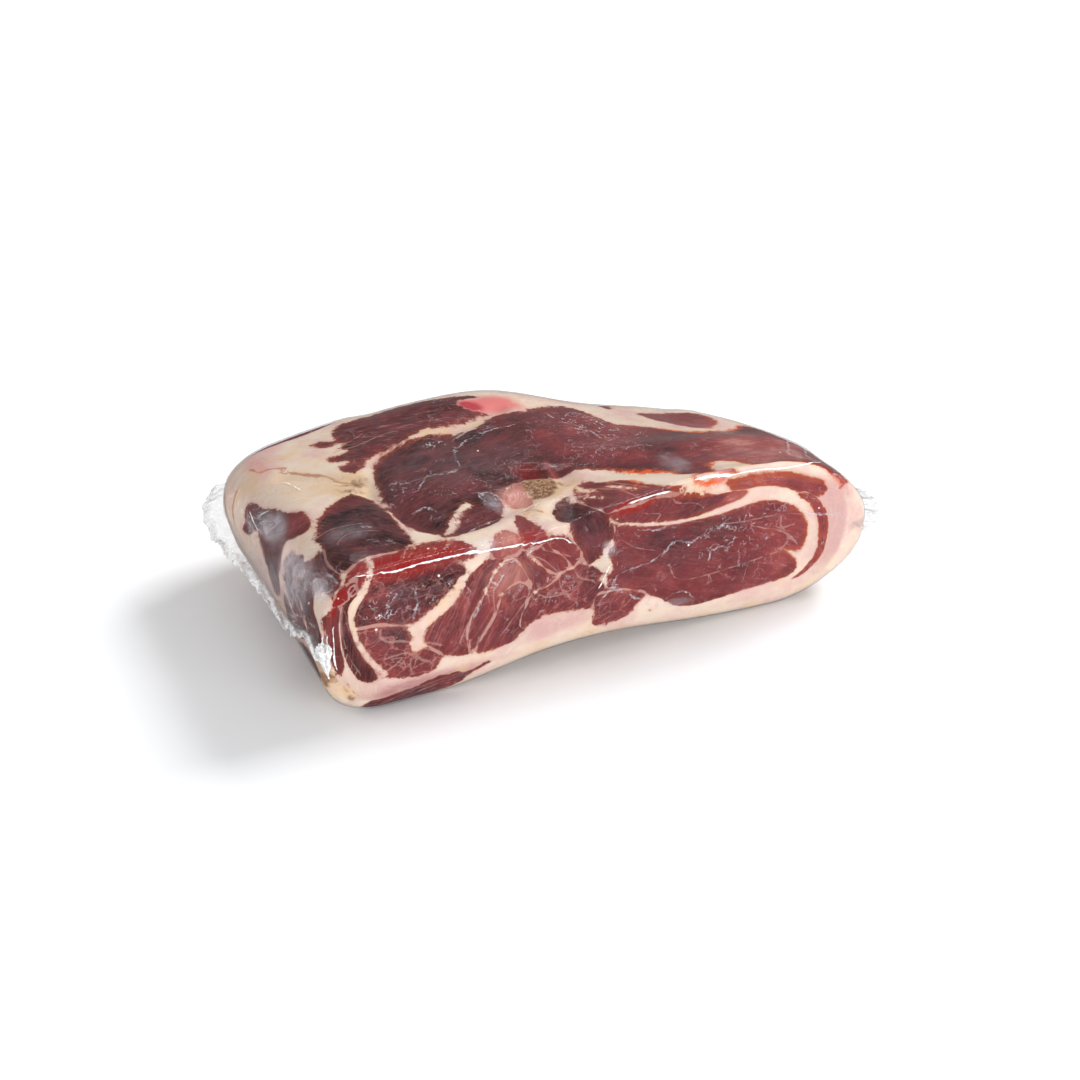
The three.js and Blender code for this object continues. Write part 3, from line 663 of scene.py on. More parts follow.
class NodeBench:
    def __init__(self, tree):
        self.tree = tree

    def add(self, kind, inputs=(), **settings):
        node = self.tree.nodes.new(kind)
        for key, value in settings.items():
            setattr(node, key, value)
        for key, value in dict(inputs).items():
            self.feed(node.inputs[key], value)
        return node

    def feed(self, socket, value):
        if isinstance(value, bpy.types.NodeSocket):
            self.tree.links.new(value, socket)
        else:
            socket.default_value = (*value, 1) if socket.type == "RGBA" else value

    def place(self):
        return self.add("ShaderNodeTexCoord").outputs["Object"]

    def field(self, name, output="Fac"):
        return self.add("ShaderNodeAttribute", attribute_name=name).outputs[output]

    def math(self, operation, *values):
        return self.add("ShaderNodeMath", dict(enumerate(values)), operation=operation).outputs[0]

    def times(self, product, *others):
        for value in others:
            product = self.math("MULTIPLY", product, value)
        return product

    def most(self, largest, *others):
        for value in others:
            largest = self.math("MAXIMUM", largest, value)
        return largest

    def onto(self, value, part, amount):
        return self.math("MULTIPLY_ADD", part, amount, value)

    def minus(self, first, second):
        return self.math("SUBTRACT", first, second)

    def sway(self, noise, amount, value):
        return self.onto(value, self.minus(noise, 0.5), amount)

    def step(self, value, low, high, start=0.0, end=1.0):
        inputs = {"Value": value, "From Min": low, "From Max": high, "To Min": start, "To Max": end}
        return self.add("ShaderNodeMapRange", inputs, interpolation_type="SMOOTHSTEP").outputs[0]

    def noise(self, vector, scale, detail=2.0, roughness=0.5, distortion=0.0):
        inputs = dict(Vector=vector, Scale=scale, Detail=detail, Roughness=roughness, Distortion=distortion)
        return self.add("ShaderNodeTexNoise", inputs).outputs["Fac"]

    def noises(self, vector, looks):
        return {name: self.noise(vector, *look) for name, look in looks.items()}

    def bend(self, vector, scale, far):
        noise = self.add("ShaderNodeTexNoise", dict(Vector=vector, Scale=scale))
        inputs = {0: noise.outputs["Color"], 1: (far, far, far), 2: vector}
        return self.add("ShaderNodeVectorMath", inputs, operation="MULTIPLY_ADD").outputs[0]

    def cells(self, vector, scale, feature="F1"):
        return self.add("ShaderNodeTexVoronoi", dict(Vector=vector, Scale=scale), feature=feature).outputs

    def edges(self, vector, scale):
        return self.cells(vector, scale, "DISTANCE_TO_EDGE")["Distance"]

    def stroke(self, name, wander, far, fine, near, gap, softness):
        # a drawn line: 1 on the line, 0 beside it, thinner where gap is larger
        side = self.sway(fine, near, self.sway(wander, far, self.field(name + "Side")))
        away = self.minus(self.math("ABSOLUTE", side), self.field(name + "Width"))
        line = self.step(self.math("ADD", away, gap), softness, 0.0)
        return self.times(line, self.step(self.field(name + "Near"), *lineEnd))

    def blend(self, part, first, second):
        return self.add("ShaderNodeMix", {0: part, 6: first, 7: second}, data_type="RGBA").outputs[2]

    def ramp(self, value, stops):
        node = self.add("ShaderNodeValToRGB", {0: value})
        points = node.color_ramp.elements
        while len(points) < len(stops):
            points.new(0.5)
        for point, (place, colour) in zip(points, stops):
            point.position = place
            point.color = (*colour, 1)
        return node.outputs[0]

    def bump(self, height, strength, distance):
        inputs = dict(Height=height, Strength=strength, Distance=distance)
        return self.add("ShaderNodeBump", inputs).outputs[0]

    def surface(self, inputs):
        return self.add("ShaderNodeBsdfPrincipled", inputs).outputs[0]

    def mix(self, part, first, second):
        return self.add("ShaderNodeMixShader", {0: part, 1: first, 2: second}).outputs[0]

    def finish(self, shader):
        self.add("ShaderNodeOutputMaterial", dict(Surface=shader))


def newMaterial(name):
    material = bpy.data.materials.new(name)
    material.use_nodes = True
    material.node_tree.nodes.clear()
    return material, NodeBench(material.node_tree)


# The meat's finish

meatFinish = dict(roughness=0.5, shine=0.06, bump=0.5, bumpDepth=0.0006, specks=150)

meatColours = dict(
    lean=[
        (0.0, (0.022, 0.006, 0.007)),
        (0.2, (0.077, 0.020, 0.024)),
        (0.4, (0.133, 0.026, 0.031)),
        (0.6, (0.196, 0.036, 0.039)),
        (0.8, (0.280, 0.065, 0.062)),
        (1.0, (0.430, 0.170, 0.145)),
    ],
    marbling=(0.41, 0.16, 0.14),
    seam=(0.46, 0.27, 0.235),
    # darker mauve-pink for the fat, partly painted shade
    dusk=(0.35, 0.165, 0.16),
    cream=(0.64, 0.52, 0.425),
    pink=(0.58, 0.38, 0.35),
    mauve=(0.100, 0.050, 0.058),
    rust=(0.19, 0.048, 0.026),
    salmon=(0.58, 0.17, 0.16),
    rawPink=(0.40, 0.045, 0.06),
    warmRim=(0.34, 0.060, 0.022),
    warmFat=(0.56, 0.33, 0.20),
    orange=(0.62, 0.10, 0.018),
    halo=(0.50, 0.30, 0.27),
    amber=(0.40, 0.23, 0.13),
    amberDark=(0.15, 0.068, 0.038),
    honey=(0.63, 0.43, 0.25),
    crease=(0.38, 0.13, 0.06),
    deepRed=(0.24, 0.010, 0.010),
    pale=(0.52, 0.25, 0.21),
    speck=(0.86, 0.78, 0.72),
)

# noises in the block, and along the fibres: scale, detail, roughness, distortion
blockNoises = dict(
    broad=(70, 2),
    wander=(300, 3, 0.6),
    fine=(1100, 3, 0.6),
    cloud=(60, 3, 0.6, 0.5),
    patchy=(130, 4, 0.6, 0.4),
    sand=(2400, 2, 0.6),
    dull=(95, 5, 0.7, 0.6),
    seam=(160, 2),
    grit=(600, 4, 0.7, 1.0),
)
fibreNoises = dict(
    mottle=(0.24, 4, 0.6, 0.8),
    fibre=(0.8, 4, 0.6, 0.3),
    strand=(2.2, 3, 0.6),
    rust=(1.0, 4, 0.65, 0.4),
    threads=(1.3, 3, 0.55),
)
# how far the noises shift the edge between fat and lean, where it is rough or ragged
edgeSway = dict(wander=4.5, fine=3.0, fibre=3.0, patchy=4.0)


def swayedEdge(bench, noise, field):
    # the distance into the fat with an uneven edge, and 1 in the lean
    edge = field.fat
    for name, amount in edgeSway.items():
        rough = field.ragged if name == "patchy" else field.rough
        edge = bench.sway(getattr(noise, name), bench.times(rough, amount), edge)
    softness = bench.onto(bench.step(noise.broad, 0.38, 0.65, 0.25, 0.7), field.ragged, 0.2)
    return edge, bench.step(bench.math("DIVIDE", edge, softness), 1, -1)


def leanTone(bench, noise, field):
    level = bench.sway(noise.fibre, 0.8, bench.times(bench.minus(noise.mottle, 0.5), 1.1))
    level = bench.sway(noise.strand, 0.4, bench.times(level, field.coarse))
    level = bench.sway(noise.patchy, 0.6, bench.sway(noise.sand, 0.5, level))
    level = bench.most(level, bench.times(level, 0.45))
    return bench.math("ADD", bench.sway(noise.broad, 0.7, level), field.tone)


def whiteInLean(bench, noise, field, edge):
    # veins of fat in marbled muscles, short threads of fat, and a pale bloom towards the edge
    thick = bench.step(noise.wander, 0.4, 0.68, 0.03, 0.15)
    wide = bench.step(bench.edges(bench.bend(field.grain, 0.35, 4.0), 0.17), thick, 0.0)
    close = bench.step(bench.edges(bench.bend(field.grain, 0.7, 2.5), 0.42), thick, 0.0)
    close = bench.times(close, bench.step(noise.fine, 0.35, 0.6), 0.35)
    veins = bench.times(bench.most(wide, close), field.marble)
    threads = bench.step(noise.threads, 0.54, 0.68)
    threads = bench.times(threads, field.streak, bench.step(noise.wander, 0.35, 0.6, 0.1, 0.6))
    bloom = bench.times(bench.step(edge, -2.6, -0.1), bench.step(noise.fibre, 0.42, 0.62, 0.0, 0.14))
    return bench.most(veins, threads, bloom)


def seamsBetween(bench, noise, field):
    # pale seams where two muscles meet
    width = bench.step(noise.seam, 0.35, 0.62, -0.15, 0.6)
    away = bench.minus(bench.math("ABSOLUTE", bench.sway(noise.fine, 0.6, field.seamSide)), width)
    seams = bench.times(bench.step(away, 0.35, 0.0), bench.step(field.seamNear, *lineEnd))
    return bench.times(seams, bench.step(field.joined, 0.0, 0.8, 0.8, 0.0))


def coat(bench, colour, coats):
    # paints the named colours one over another, each where its part is above 0
    for name, part in coats:
        colour = bench.blend(part, colour, meatColours[name])
    return colour


def leanColour(bench, noise, field, edge):
    dull = bench.times(bench.step(noise.dull, 0.42, 0.62), bench.step(noise.fibre, 0.3, 0.6, 0.3, 0.9))
    drawn = bench.step(noise.fibre, 0.35, 0.65, -0.1, 0.3)
    drawn = bench.stroke("line", noise.wander, 0.6, noise.fine, 0.3, drawn, 0.4)
    return coat(bench, bench.ramp(leanTone(bench, noise, field), meatColours["lean"]), [
        ("rust", bench.step(noise.rust, 0.5, 0.68, 0.0, 0.6)),
        ("mauve", bench.times(dull, field.grey)),
        ("deepRed", bench.times(field.deep, bench.step(noise.fibre, 0.68, 0.5, 0.45, 1.0))),
        ("marbling", bench.times(whiteInLean(bench, noise, field, edge), 0.6)),
        ("seam", bench.times(drawn, 0.4)),
        ("seam", seamsBetween(bench, noise, field)),
        ("pale", bench.times(field.pale, bench.step(noise.fibre, 0.3, 0.6, 0.5, 1))),
        ("warmRim", bench.times(bench.step(edge, -2.6, -0.3), bench.times(field.rim, 0.75))),
    ])


def fatColour(bench, noise, field, edge, grit):
    hue = bench.sway(noise.wander, 1.2, bench.sway(noise.broad, 2.0, field.blush))
    honey = bench.step(bench.sway(noise.cloud, 2.2, field.amber), 0.0, 0.7)
    creased = bench.step(noise.patchy, 0.35, 0.6, -0.2, 0.5)
    creased = bench.stroke("crease", noise.wander, 1.6, noise.fine, 0.8, creased, 1.0)
    colour = coat(bench, meatColours["cream"], [
        ("pink", bench.step(hue, 0.0, 1.0)),
        # darker mauve-pink fat, partly painted shade on the ends and the lower cut face
        ("dusk", bench.times(field.dusk, bench.step(noise.fibre, 0.35, 0.6, 0.6, 1.0))),
        ("salmon", field.salmon),
        ("rawPink", bench.step(field.salmon, 1.0, 1.8)),
        ("halo", bench.times(bench.step(edge, 1.9, 0.0), bench.step(noise.fibre, 0.35, 0.65, 0.15, 0.6))),
        ("warmFat", bench.times(bench.step(edge, 1.6, 0.1), bench.times(field.rim, 0.35))),
        ("honey", bench.times(honey, 0.8)),
        ("crease", bench.times(creased, 0.75)),
    ])
    amber = bench.blend(grit, meatColours["amberDark"], meatColours["amber"])
    return bench.blend(bench.step(bench.sway(noise.patchy, 1.8, field.amber), 0.55, 0.95), colour, amber)


def makeMeatMaterial():
    material, bench = newMaterial("curedMeat")
    place, grain = bench.place(), bench.field("grain", "Vector")
    noise = SimpleNamespace(**bench.noises(place, blockNoises), **bench.noises(grain, fibreNoises))
    field = SimpleNamespace(grain=grain, **{name: bench.field(name) for name in meatFieldNames})
    edge, leanPart = swayedEdge(bench, noise, field)
    grit = bench.step(noise.grit, 0.42, 0.6)
    fat, lean = fatColour(bench, noise, field, edge, grit), leanColour(bench, noise, field, edge)
    colour = bench.blend(leanPart, fat, lean)
    glow = bench.step(bench.math("ABSOLUTE", bench.minus(edge, 0.2)), 1.1, 0.1)
    glow = bench.times(glow, field.orange, bench.step(noise.wander, 0.3, 0.6, 0.35, 0.9))
    seed = bench.cells(place, meatFinish["specks"])
    firstShade = bench.add("ShaderNodeSeparateColor", {0: seed["Color"]}).outputs[0]
    specks = bench.times(bench.step(seed["Distance"], 0.085, 0.055), bench.step(firstShade, 0.80, 0.84))
    colour = coat(bench, colour, [("orange", glow), ("speck", bench.times(specks, leanPart))])
    height = bench.times(bench.onto(bench.times(noise.strand, 0.25), noise.fibre, 0.5), leanPart)
    height = bench.onto(bench.onto(height, leanPart, -0.35), bench.times(grit, field.amber), 0.6)
    bump = bench.bump(height, meatFinish["bump"], meatFinish["bumpDepth"])
    bench.finish(bench.surface({
        "Base Color": colour,
        "Roughness": meatFinish["roughness"],
        "Specular IOR Level": meatFinish["shine"],
        "Normal": bump,
    }))
    return material


def makeMeat():
    meat, _, base, normals, places = hamBlock("hamMeat")
    fields, grain = meatFields(places)
    sink = reliefDepth(base) + hamMeat["underFilm"]
    sink += hamMeat["leanSink"] * smooth(0.5 - fields["fat"] / 2)
    placePoints(meat, base - normals * sink[:, None])
    for name, values in fields.items():
        keepField(meat, name, values)
    keepField(meat, "grain", grain, "FLOAT_VECTOR", "vector")
    finishPiece(meat, makeMeatMaterial())


# The film: clear, tight on the meat, with ridges, wrinkles, milky patches and painted highlights

filmLook = dict(reliefShare=0.22, deepest=0.7)  # how far the film follows the meat into a dent

# ridges of the film: height, half width, path on the sheet
filmRidges = [
    (0.3, 1.4, [(119.5, -6), (120, -14), (119, -22), (120.5, -30), (116, -38)]),
    (0.15, 1.6, [(78, 40), (82, 34), (85, 26), (84, 21)]),
    (0.3, 1.2, [(3, -4), (2.5, -16), (3.5, -28), (6, -40)]),
    (0.35, 1.5, [(-6, 88), (-14, 78), (-22, 66)]),
    (0.35, 1.5, [(4, 84), (-4, 70), (-18, 50), (-30, 30)]),
    (0.3, 1.4, [(-4, 60), (-14, 40), (-24, 20), (-26, 8)]),
    (0.3, 1.4, [(210, 10), (206, 22), (208, 36), (216, 50)]),
    (0.3, 1.4, [(216, 8), (214, 24), (222, 40)]),
]

# painted highlights: thin near-white lines where the film's creases catch the light, mostly along the edges:
# half width, path
filmCreaseHighlights = [
    (0.12, [(15.6, 5.5), (20, 5.2)]),
    (0.16, [(25, 4.5), (31, 3.8), (40.4, 4.1), (50.5, 3.9), (61, 4)]),
    (0.4, [(60.5, 4), (65, 3.9)]),
    (0.14, [(68.5, 3.8), (72, 3.6), (79, 3.5), (83, 3.7)]),
    (0.12, [(86.5, 3), (93, 3), (96, 3), (100, 1.8), (103, -1.2)]),
    (0.14, [(129, 5), (137, 5), (145, 4.7)]),
    (0.5, [(158.5, 5.8), (163, 5.8), (168, 5.3), (172.6, 4.5)]),
    (0.16, [(172, 4.5), (179, 4.7), (186, 4.7), (194, 4.4), (201, 4.7), (208, 5.8)]),
    (0.1, [(207, 5.4), (212.3, 8.6), (217, 14)]),
    (0.08, [(118.4, -26), (115, -33)]),
    (0.25, [(-23, 5), (-28.3, 4.7), (-34.5, 4.1), (-40, 3.8)]),
    (0.15, [(-17, 1.3), (-24.3, 1.3), (-31.5, 1.6), (-36.3, 1.3)]),
    (0.1, [(-5.7, 84.8), (-8.4, 78), (-9.4, 72.9)]),
    (0.05, [(-3.1, 77.2), (0.5, 77), (4.6, 75.8)]),
    (0.05, [(19.1, 87.7), (21.5, 86), (23.3, 77.2)]),
]

# thin folds of the film: half width, path
filmFolds = [
    (0.2, [(37, -9.7), (37.3, -15.8), (35.7, -21)]),
    (0.15, [(24, -17), (27, -12), (29, -8)]),
    (0.15, [(75, -4), (70, -9.2), (64.4, -21), (61, -28.6), (56.4, -35.5)]),
    (0.15, [(78, -2), (74, -11), (69, -19)]),
    (0.2, [(3, -6), (2.4, -18), (3.4, -30), (6, -38)]),
    (0.15, [(119.8, -35.8), (121.6, -31), (126.6, -29.7), (132, -29.1), (137.3, -28.6), (142.6, -25.5),
            (147.7, -22), (153.9, -24.6), (158.3, -23), (163.7, -22), (168.1, -20.4), (170.8, -18.2)]),
    (0.12, [(163, -33), (164.3, -30.2), (167.8, -29), (172.3, -31), (174.6, -27)]),
    (0.1, [(131.7, -11), (140, -14), (149.5, -13.3), (158, -16)]),
    (0.15, [(116.6, -38.5), (121.6, -36.3), (128.1, -41.9), (132.9, -45.6)]),
    (0.15, [(145.9, -49), (149.2, -46), (154.8, -47.5), (158, -54.2), (156.6, -60)]),
    (0.2, [(79, 39.5), (84.5, 38), (85.5, 32), (84.9, 26)]),
    (0.15, [(79, 39.5), (79.5, 34.4), (81.6, 29), (84.9, 25)]),
    (0.12, [(90.8, 79.2), (97.3, 82.3), (104.1, 84), (109.5, 83.4)]),
    (0.15, [(88, 73), (84, 66), (81.6, 57.9), (76.6, 55.4), (70, 57)]),
    (0.12, [(59.7, 50), (65.6, 55.7), (70.7, 59.9)]),
    (0.1, [(88, 72), (97, 77), (106, 79.5), (118, 80)]),
    (0.15, [(52, 36.7), (57.3, 38.4), (59.4, 34.1)]),
    (0.15, [(80.4, -2.8), (86.7, 2.7), (91.1, 6.9), (96.1, 11.8)]),
    (0.15, [(52, 8), (62, 14), (73, 19), (85, 21), (97, 24)]),
    (0.15, [(8, 70), (0, 72), (-6, 80)]),
    (0.2, [(-10, 84), (-16, 76), (-24, 68), (-34, 62)]),
    (0.2, [(-8, 82), (-15, 72), (-25, 62)]),
    (0.2, [(4, 40), (-6, 34), (-16, 32), (-28, 34)]),
    (0.25, [(-12, 22), (-6.5, 24), (0.7, 21), (5.2, 15), (5.2, 6.4)]),
    (0.2, [(-9.7, 17), (-4.4, 17.4), (0.4, 15), (2.5, 10), (0.7, 6)]),
    (0.2, [(-14.5, 24), (-8.6, 26.5), (0.4, 23.7), (7.3, 16), (7.9, 7.2)]),
    (0.25, [(-5.5, 88), (-9.2, 83), (-11.3, 77), (-12.6, 71.5)]),
    (0.2, [(-3.1, 78.3), (1.9, 77.5), (5.5, 75.8)]),
    (0.4, [(0, 67.8), (0, 64.4)]),
    (0.2, [(-34, 44), (-30, 34), (-24, 24), (-22, 12)]),
    (0.2, [(-38, 48), (-35, 36), (-30, 24), (-30, 12)]),
    (0.15, [(20, 34), (26, 37), (32, 33)]),
    (0.12, [(141, 90), (141, 83), (144.4, 78.6), (146, 72), (144.7, 63.6)]),
    (0.12, [(156.6, 93.6), (159.8, 89.4), (157, 79)]),
    (0.12, [(146.5, 59.6), (153.3, 63.3), (155.4, 60.2), (164.6, 67)]),
    (0.15, [(206, 12), (204, 22), (209, 34), (216, 48)]),
    (0.15, [(212, 10), (213, 24), (222, 42)]),
    (0.15, [(206, -20), (216, -22), (232, -20)]),
    (0.12, [(226, -14), (228, -30), (225, -46)]),
]

# places where small painted glints, near-white specks on the crinkled film, are drawn: strength, centre, half
# sizes
filmPaintedGlints = [
    (1.0, (83, 80), (7, 7)),
    (1.0, (92, 40), (4, 4)),
    (1.0, (114, 45), (4, 3)),
    (0.7, (150, 78), (16, 22)),
    (0.8, (55, 54), (6, 10)),
    (0.25, (106, 16), (8, 12)),
    (0.5, (140, 50), (26, 12)),
    (0.6, (120, -28), (6, 18)),
    (0.8, (24, -14), (12, 14)),
    (0.5, (176, -24), (24, 14)),
    (0.4, (44, -14), (20, 12)),
    (0.5, (95, -28), (16, 14)),
    (0.6, (-6, 76), (12, 14)),
    (0.4, (24, 86), (16, 10)),
]

# milky patches of the film, and two painted highlight patches on the edge: strength, centre, half sizes
filmHazeAndHighlights = [
    (0.42, (0, 66), (12, 14)),
    (0.4, (-12, 34), (20, 20)),
    (0.42, (-3, 15), (9, 10)),
    (0.14, (-24, 60), (14, 30)),
    (0.1, (24, 34), (12, 9)),
    (0.3, (118, -16), (3, 7)),
    (0.35, (82, 31), (3, 9)),
    (0.05, (104, 12), (4, 9)),
    (0.02, (84, 66), (40, 24)),
    (0.16, (156, 26), (7, 14)),
    (0.03, (200, 80), (26, 24)),
    (0.12, (222, 50), (8, 22)),
    # painted highlights: the next two are white patches standing in for light on the edge
    (0.35, (168, 6), (7, 3)),
    (0.3, (67, 6), (7, 4)),
    (0.2, (-44, 80), (20, 46)),
    (0.24, (150, -54), (9, 5)),
]

# the film's finish and the seals': bump, the sheen towards the outline, and the gloss
filmFinish = dict(bump=0.5, bumpDepth=0.0008, sheen=0.028, sheenPower=5.0, gloss=0.14)
sealFinish = dict(bump=0.8, bumpDepth=0.001, sheen=0.06, sheenPower=4.0, gloss=0.15)
milkRoughness = 0.3

# scale, detail, roughness, distortion
filmNoises = dict(
    wobble=(420, 3, 0.6),
    tremble=(1400, 2),
    breaks=(210, 2),
    dots=(800, 3, 0.6),
    cloud=(120, 4, 0.6, 0.5),
    cling=(45, 4, 0.6, 0.6),
    sparkle=(330, 2),
    soft=(160, 2),
    folds=(420, 3, 0.6, 1.2),
)


def finishFilm(bench, finish, height, milky, milkColour):
    # clear, with a sheen that grows towards its outline, and milky in places; painted highlights come in
    # through the milky part
    bump = bench.bump(height, finish["bump"], finish["bumpDepth"])
    facing = bench.add("ShaderNodeLayerWeight", dict(Blend=0.5, Normal=bump)).outputs["Facing"]
    mirror = bench.onto(finish["sheen"], bench.math("POWER", facing, finish["sheenPower"]), 0.8)
    clear = bench.add("ShaderNodeBsdfTransparent").outputs[0]
    gloss = {"Base Color": (1, 1, 1), "Metallic": 1.0, "Roughness": finish["gloss"], "Normal": bump}
    milk = {"Base Color": milkColour, "Roughness": milkRoughness, "Normal": bump}
    sheen = bench.mix(mirror, clear, bench.surface(gloss))
    bench.finish(bench.mix(milky, sheen, bench.surface(milk)))


def makeFilmMaterial():
    material, bench = newMaterial("clearFilm")
    place = bench.place()
    noise = SimpleNamespace(**bench.noises(place, filmNoises))
    gap = bench.step(noise.breaks, 0.4, 0.62, 0.3, -0.15)
    fold = bench.stroke("fold", noise.wobble, 3.0, noise.tremble, 1.6, gap, 0.45)
    fold = bench.times(fold, bench.step(noise.dots, 0.38, 0.6, 0.25, 1.0))
    # painted highlight lines along the film's creases, drawn near-white
    gap = bench.step(noise.wobble, 0.4, 0.62, 0.16, -0.05)
    crease = bench.stroke("crease", noise.wobble, 0.25, noise.tremble, 0.2, gap, 0.25)
    loose = bench.step(noise.cling, 0.53, 0.57)
    rims = bench.step(bench.math("ABSOLUTE", bench.minus(noise.cling, 0.5)), 0.008, 0.0)
    rims = bench.times(rims, bench.step(noise.cloud, 0.45, 0.6))
    # painted glints: small near-white specks from cell edges, where the glint field allows
    glints = bench.step(bench.edges(bench.bend(place, 420, 0.004), 360), 0.045, 0.01)
    glints = bench.times(glints, bench.step(noise.sparkle, 0.5, 0.6), bench.field("glint"))
    height = bench.onto(bench.times(noise.soft, 0.3), bench.times(noise.folds, bench.field("crinkle")), 1.2)
    for part, amount in ((rims, 0.15), (fold, 0.3), (loose, 0.12)):
        height = bench.onto(height, part, amount)
    milky = bench.times(bench.field("haze"), bench.step(noise.cloud, 0.3, 0.7, 0.35, 1.2))
    milky = bench.onto(milky, loose, 0.006)
    # painted highlights: the crease lines and glints are painted near-white into the milky part
    bright = bench.most(bench.times(crease, 0.95), bench.times(glints, 0.85))
    milky = bench.most(milky, bench.times(rims, 0.2), bench.times(fold, 0.42), bright)
    # the painted highlights take a near-white milk, the rest a lilac milk
    milkColour = bench.blend(bright, (0.74, 0.69, 0.74), (0.97, 0.96, 0.95))
    finishFilm(bench, filmFinish, height, milky, milkColour)
    return material


def spotField(places, spots):
    field = np.zeros(len(places))
    for strength, centre, halfSizes in spots:
        field = np.maximum(field, strength * spotPart(places, centre, halfSizes, 0.4, 0.6))
    return field


def makeFilm():
    film, cube, base, normals, places = hamBlock("bagFilm")
    depth = reliefDepth(base)
    rise = np.where(depth < 0, -depth, -np.minimum(filmLook["reliefShare"] * depth, filmLook["deepest"]))
    for height, width, path in filmRidges:
        rise += height * np.exp(-((pathDistance(places, path) / width) ** 2))
    ends = 1 - smooth(cube[:, 0] / 0.08) * smooth((1 - cube[:, 0]) / 0.1)
    placePoints(film, base + normals * rise[:, None])
    # haze holds the milky patches and the painted highlight patches, glint where painted glints go
    fields = dict(haze=spotField(places, filmHazeAndHighlights), glint=spotField(places, filmPaintedGlints))
    fields["crinkle"] = 0.12 + 0.5 * ends
    for name, lines in (("fold", filmFolds), ("crease", filmCreaseHighlights)):
        fields.update(strokeFields(places, name, lines))
    for name, values in fields.items():
        keepField(film, name, values)
    finishPiece(film, makeFilmMaterial())


# The two sealed ends of the bag: narrow ruffled ribbons, clear at the ham and milky at the edge

# heights and reach are given at even steps from the cut face to the back
sealLooks = [
    dict(name="leftSeal", side=0, span=(0.03, 0.99),
         heights=(0.50, 0.56, 0.46, 0.42, 0.43, 0.48, 0.50, 0.53, 0.62, 0.76, 0.84),
         reach=(2.2, 3.0, 3.0, 3.2, 3.4, 3.8, 4.6, 6.6, 8, 8, 6),
         droop=0.5, ruffle=1.2, crimp=0.35, uneven=0.12, milk=0.85),
    dict(name="rightSeal", side=1, span=(0.02, 0.8), heights=(0.55, 0.56, 0.54, 0.5, 0.5, 0.5),
         reach=(7, 10, 11, 10, 7, 5), droop=0.1, ruffle=0.35, crimp=0.06, uneven=0.04, milk=0.7),
]
sealShape = dict(cells=(320, 12), thickness=0.00035, under=0.8, milkyRim=3.2)
sealKnot = dict(place=(-4.6, 3.6, 33), radius=2.9, tail=(-3.4, 3.4, 25))


def makeSealMaterial():
    material, bench = newMaterial("sealedFilm")
    place = bench.place()
    creases = bench.noise(place, 300, 4, 0.65, 1.0)
    height = bench.onto(creases, bench.cells(place, 480, "SMOOTH_F1")["Distance"], 0.8)
    milky = bench.times(bench.field("haze"), bench.step(creases, 0.3, 0.65, 0.35, 1.2))
    finishFilm(bench, sealFinish, height, milky, (0.92, 0.92, 0.93))
    return material


def unevenLine(u, knots, seed):
    heights = np.random.default_rng(seed).uniform(-1, 1, knots + 2)
    place = u * knots
    i = np.minimum(place.astype(int), knots - 1)
    part = smooth(place - i)
    return heights[i] * (1 - part) + heights[i + 1] * part


def makeSeal(look, material):
    bpy.ops.object.select_all(action="DESELECT")
    long, wide = sealShape["cells"]
    bpy.ops.mesh.primitive_grid_add(x_subdivisions=long, y_subdivisions=wide, size=1, location=(0.5, 0.5, 0))
    seal = startPiece(look["name"])
    u, v, _ = pointsOf(seal).T
    start, end = look["span"]
    along = start + (end - start) * u
    rim = np.full(len(u), float(look["side"]))
    lift = curveThrough(u, np.linspace(0, 1, len(look["heights"])), look["heights"])
    lift += 0.015 * unevenLine(u, 9, 3)
    base, ahead, behind = (hamForm(np.column_stack([rim, place, lift])) for place in (
        along, np.minimum(along + 0.01, 1), np.maximum(along - 0.01, 0)))
    run = (ahead - behind)[:, :2]
    run /= np.linalg.norm(run, axis=1, keepdims=True)
    outward = np.column_stack([-run[:, 1], run[:, 0]]) * (1 if look["side"] == 0 else -1)
    knots = np.linspace(0, 1, len(look["reach"]))
    reach = curveThrough(u, knots, look["reach"]) * (1 + look["uneven"] * unevenLine(u, 46, 5))
    out = v * (reach + sealShape["under"]) - sealShape["under"]
    ruffle = unevenLine(u, 22, 7) + 0.5 * unevenLine(u, 60, 9) + 0.25 * unevenLine(u, 150, 11)
    ruffle = v ** 1.5 * ruffle + 0.5 * v * np.sin(9 * v + 40 * u)
    sideways = v * look["ruffle"] * 0.65 * unevenLine(u, 70, 17)
    points = base.copy()
    points[:, :2] += outward * out[:, None] + run * sideways[:, None]
    points[:, 2] += look["ruffle"] * ruffle + v * look["crimp"] * unevenLine(u, 210, 13)
    points[:, 2] -= look["droop"] * v ** 1.5 * reach
    placePoints(seal, points)
    milky = smooth((out - reach + sealShape["milkyRim"]) / 2)
    keepField(seal, "haze", look["milk"] * (0.12 + 0.88 * milky))
    select(seal)
    solid = seal.modifiers.new("thickness", "SOLIDIFY")
    solid.thickness = sealShape["thickness"]
    solid.offset = 0
    bpy.ops.object.modifier_apply(modifier="thickness")
    finishPiece(seal, material)


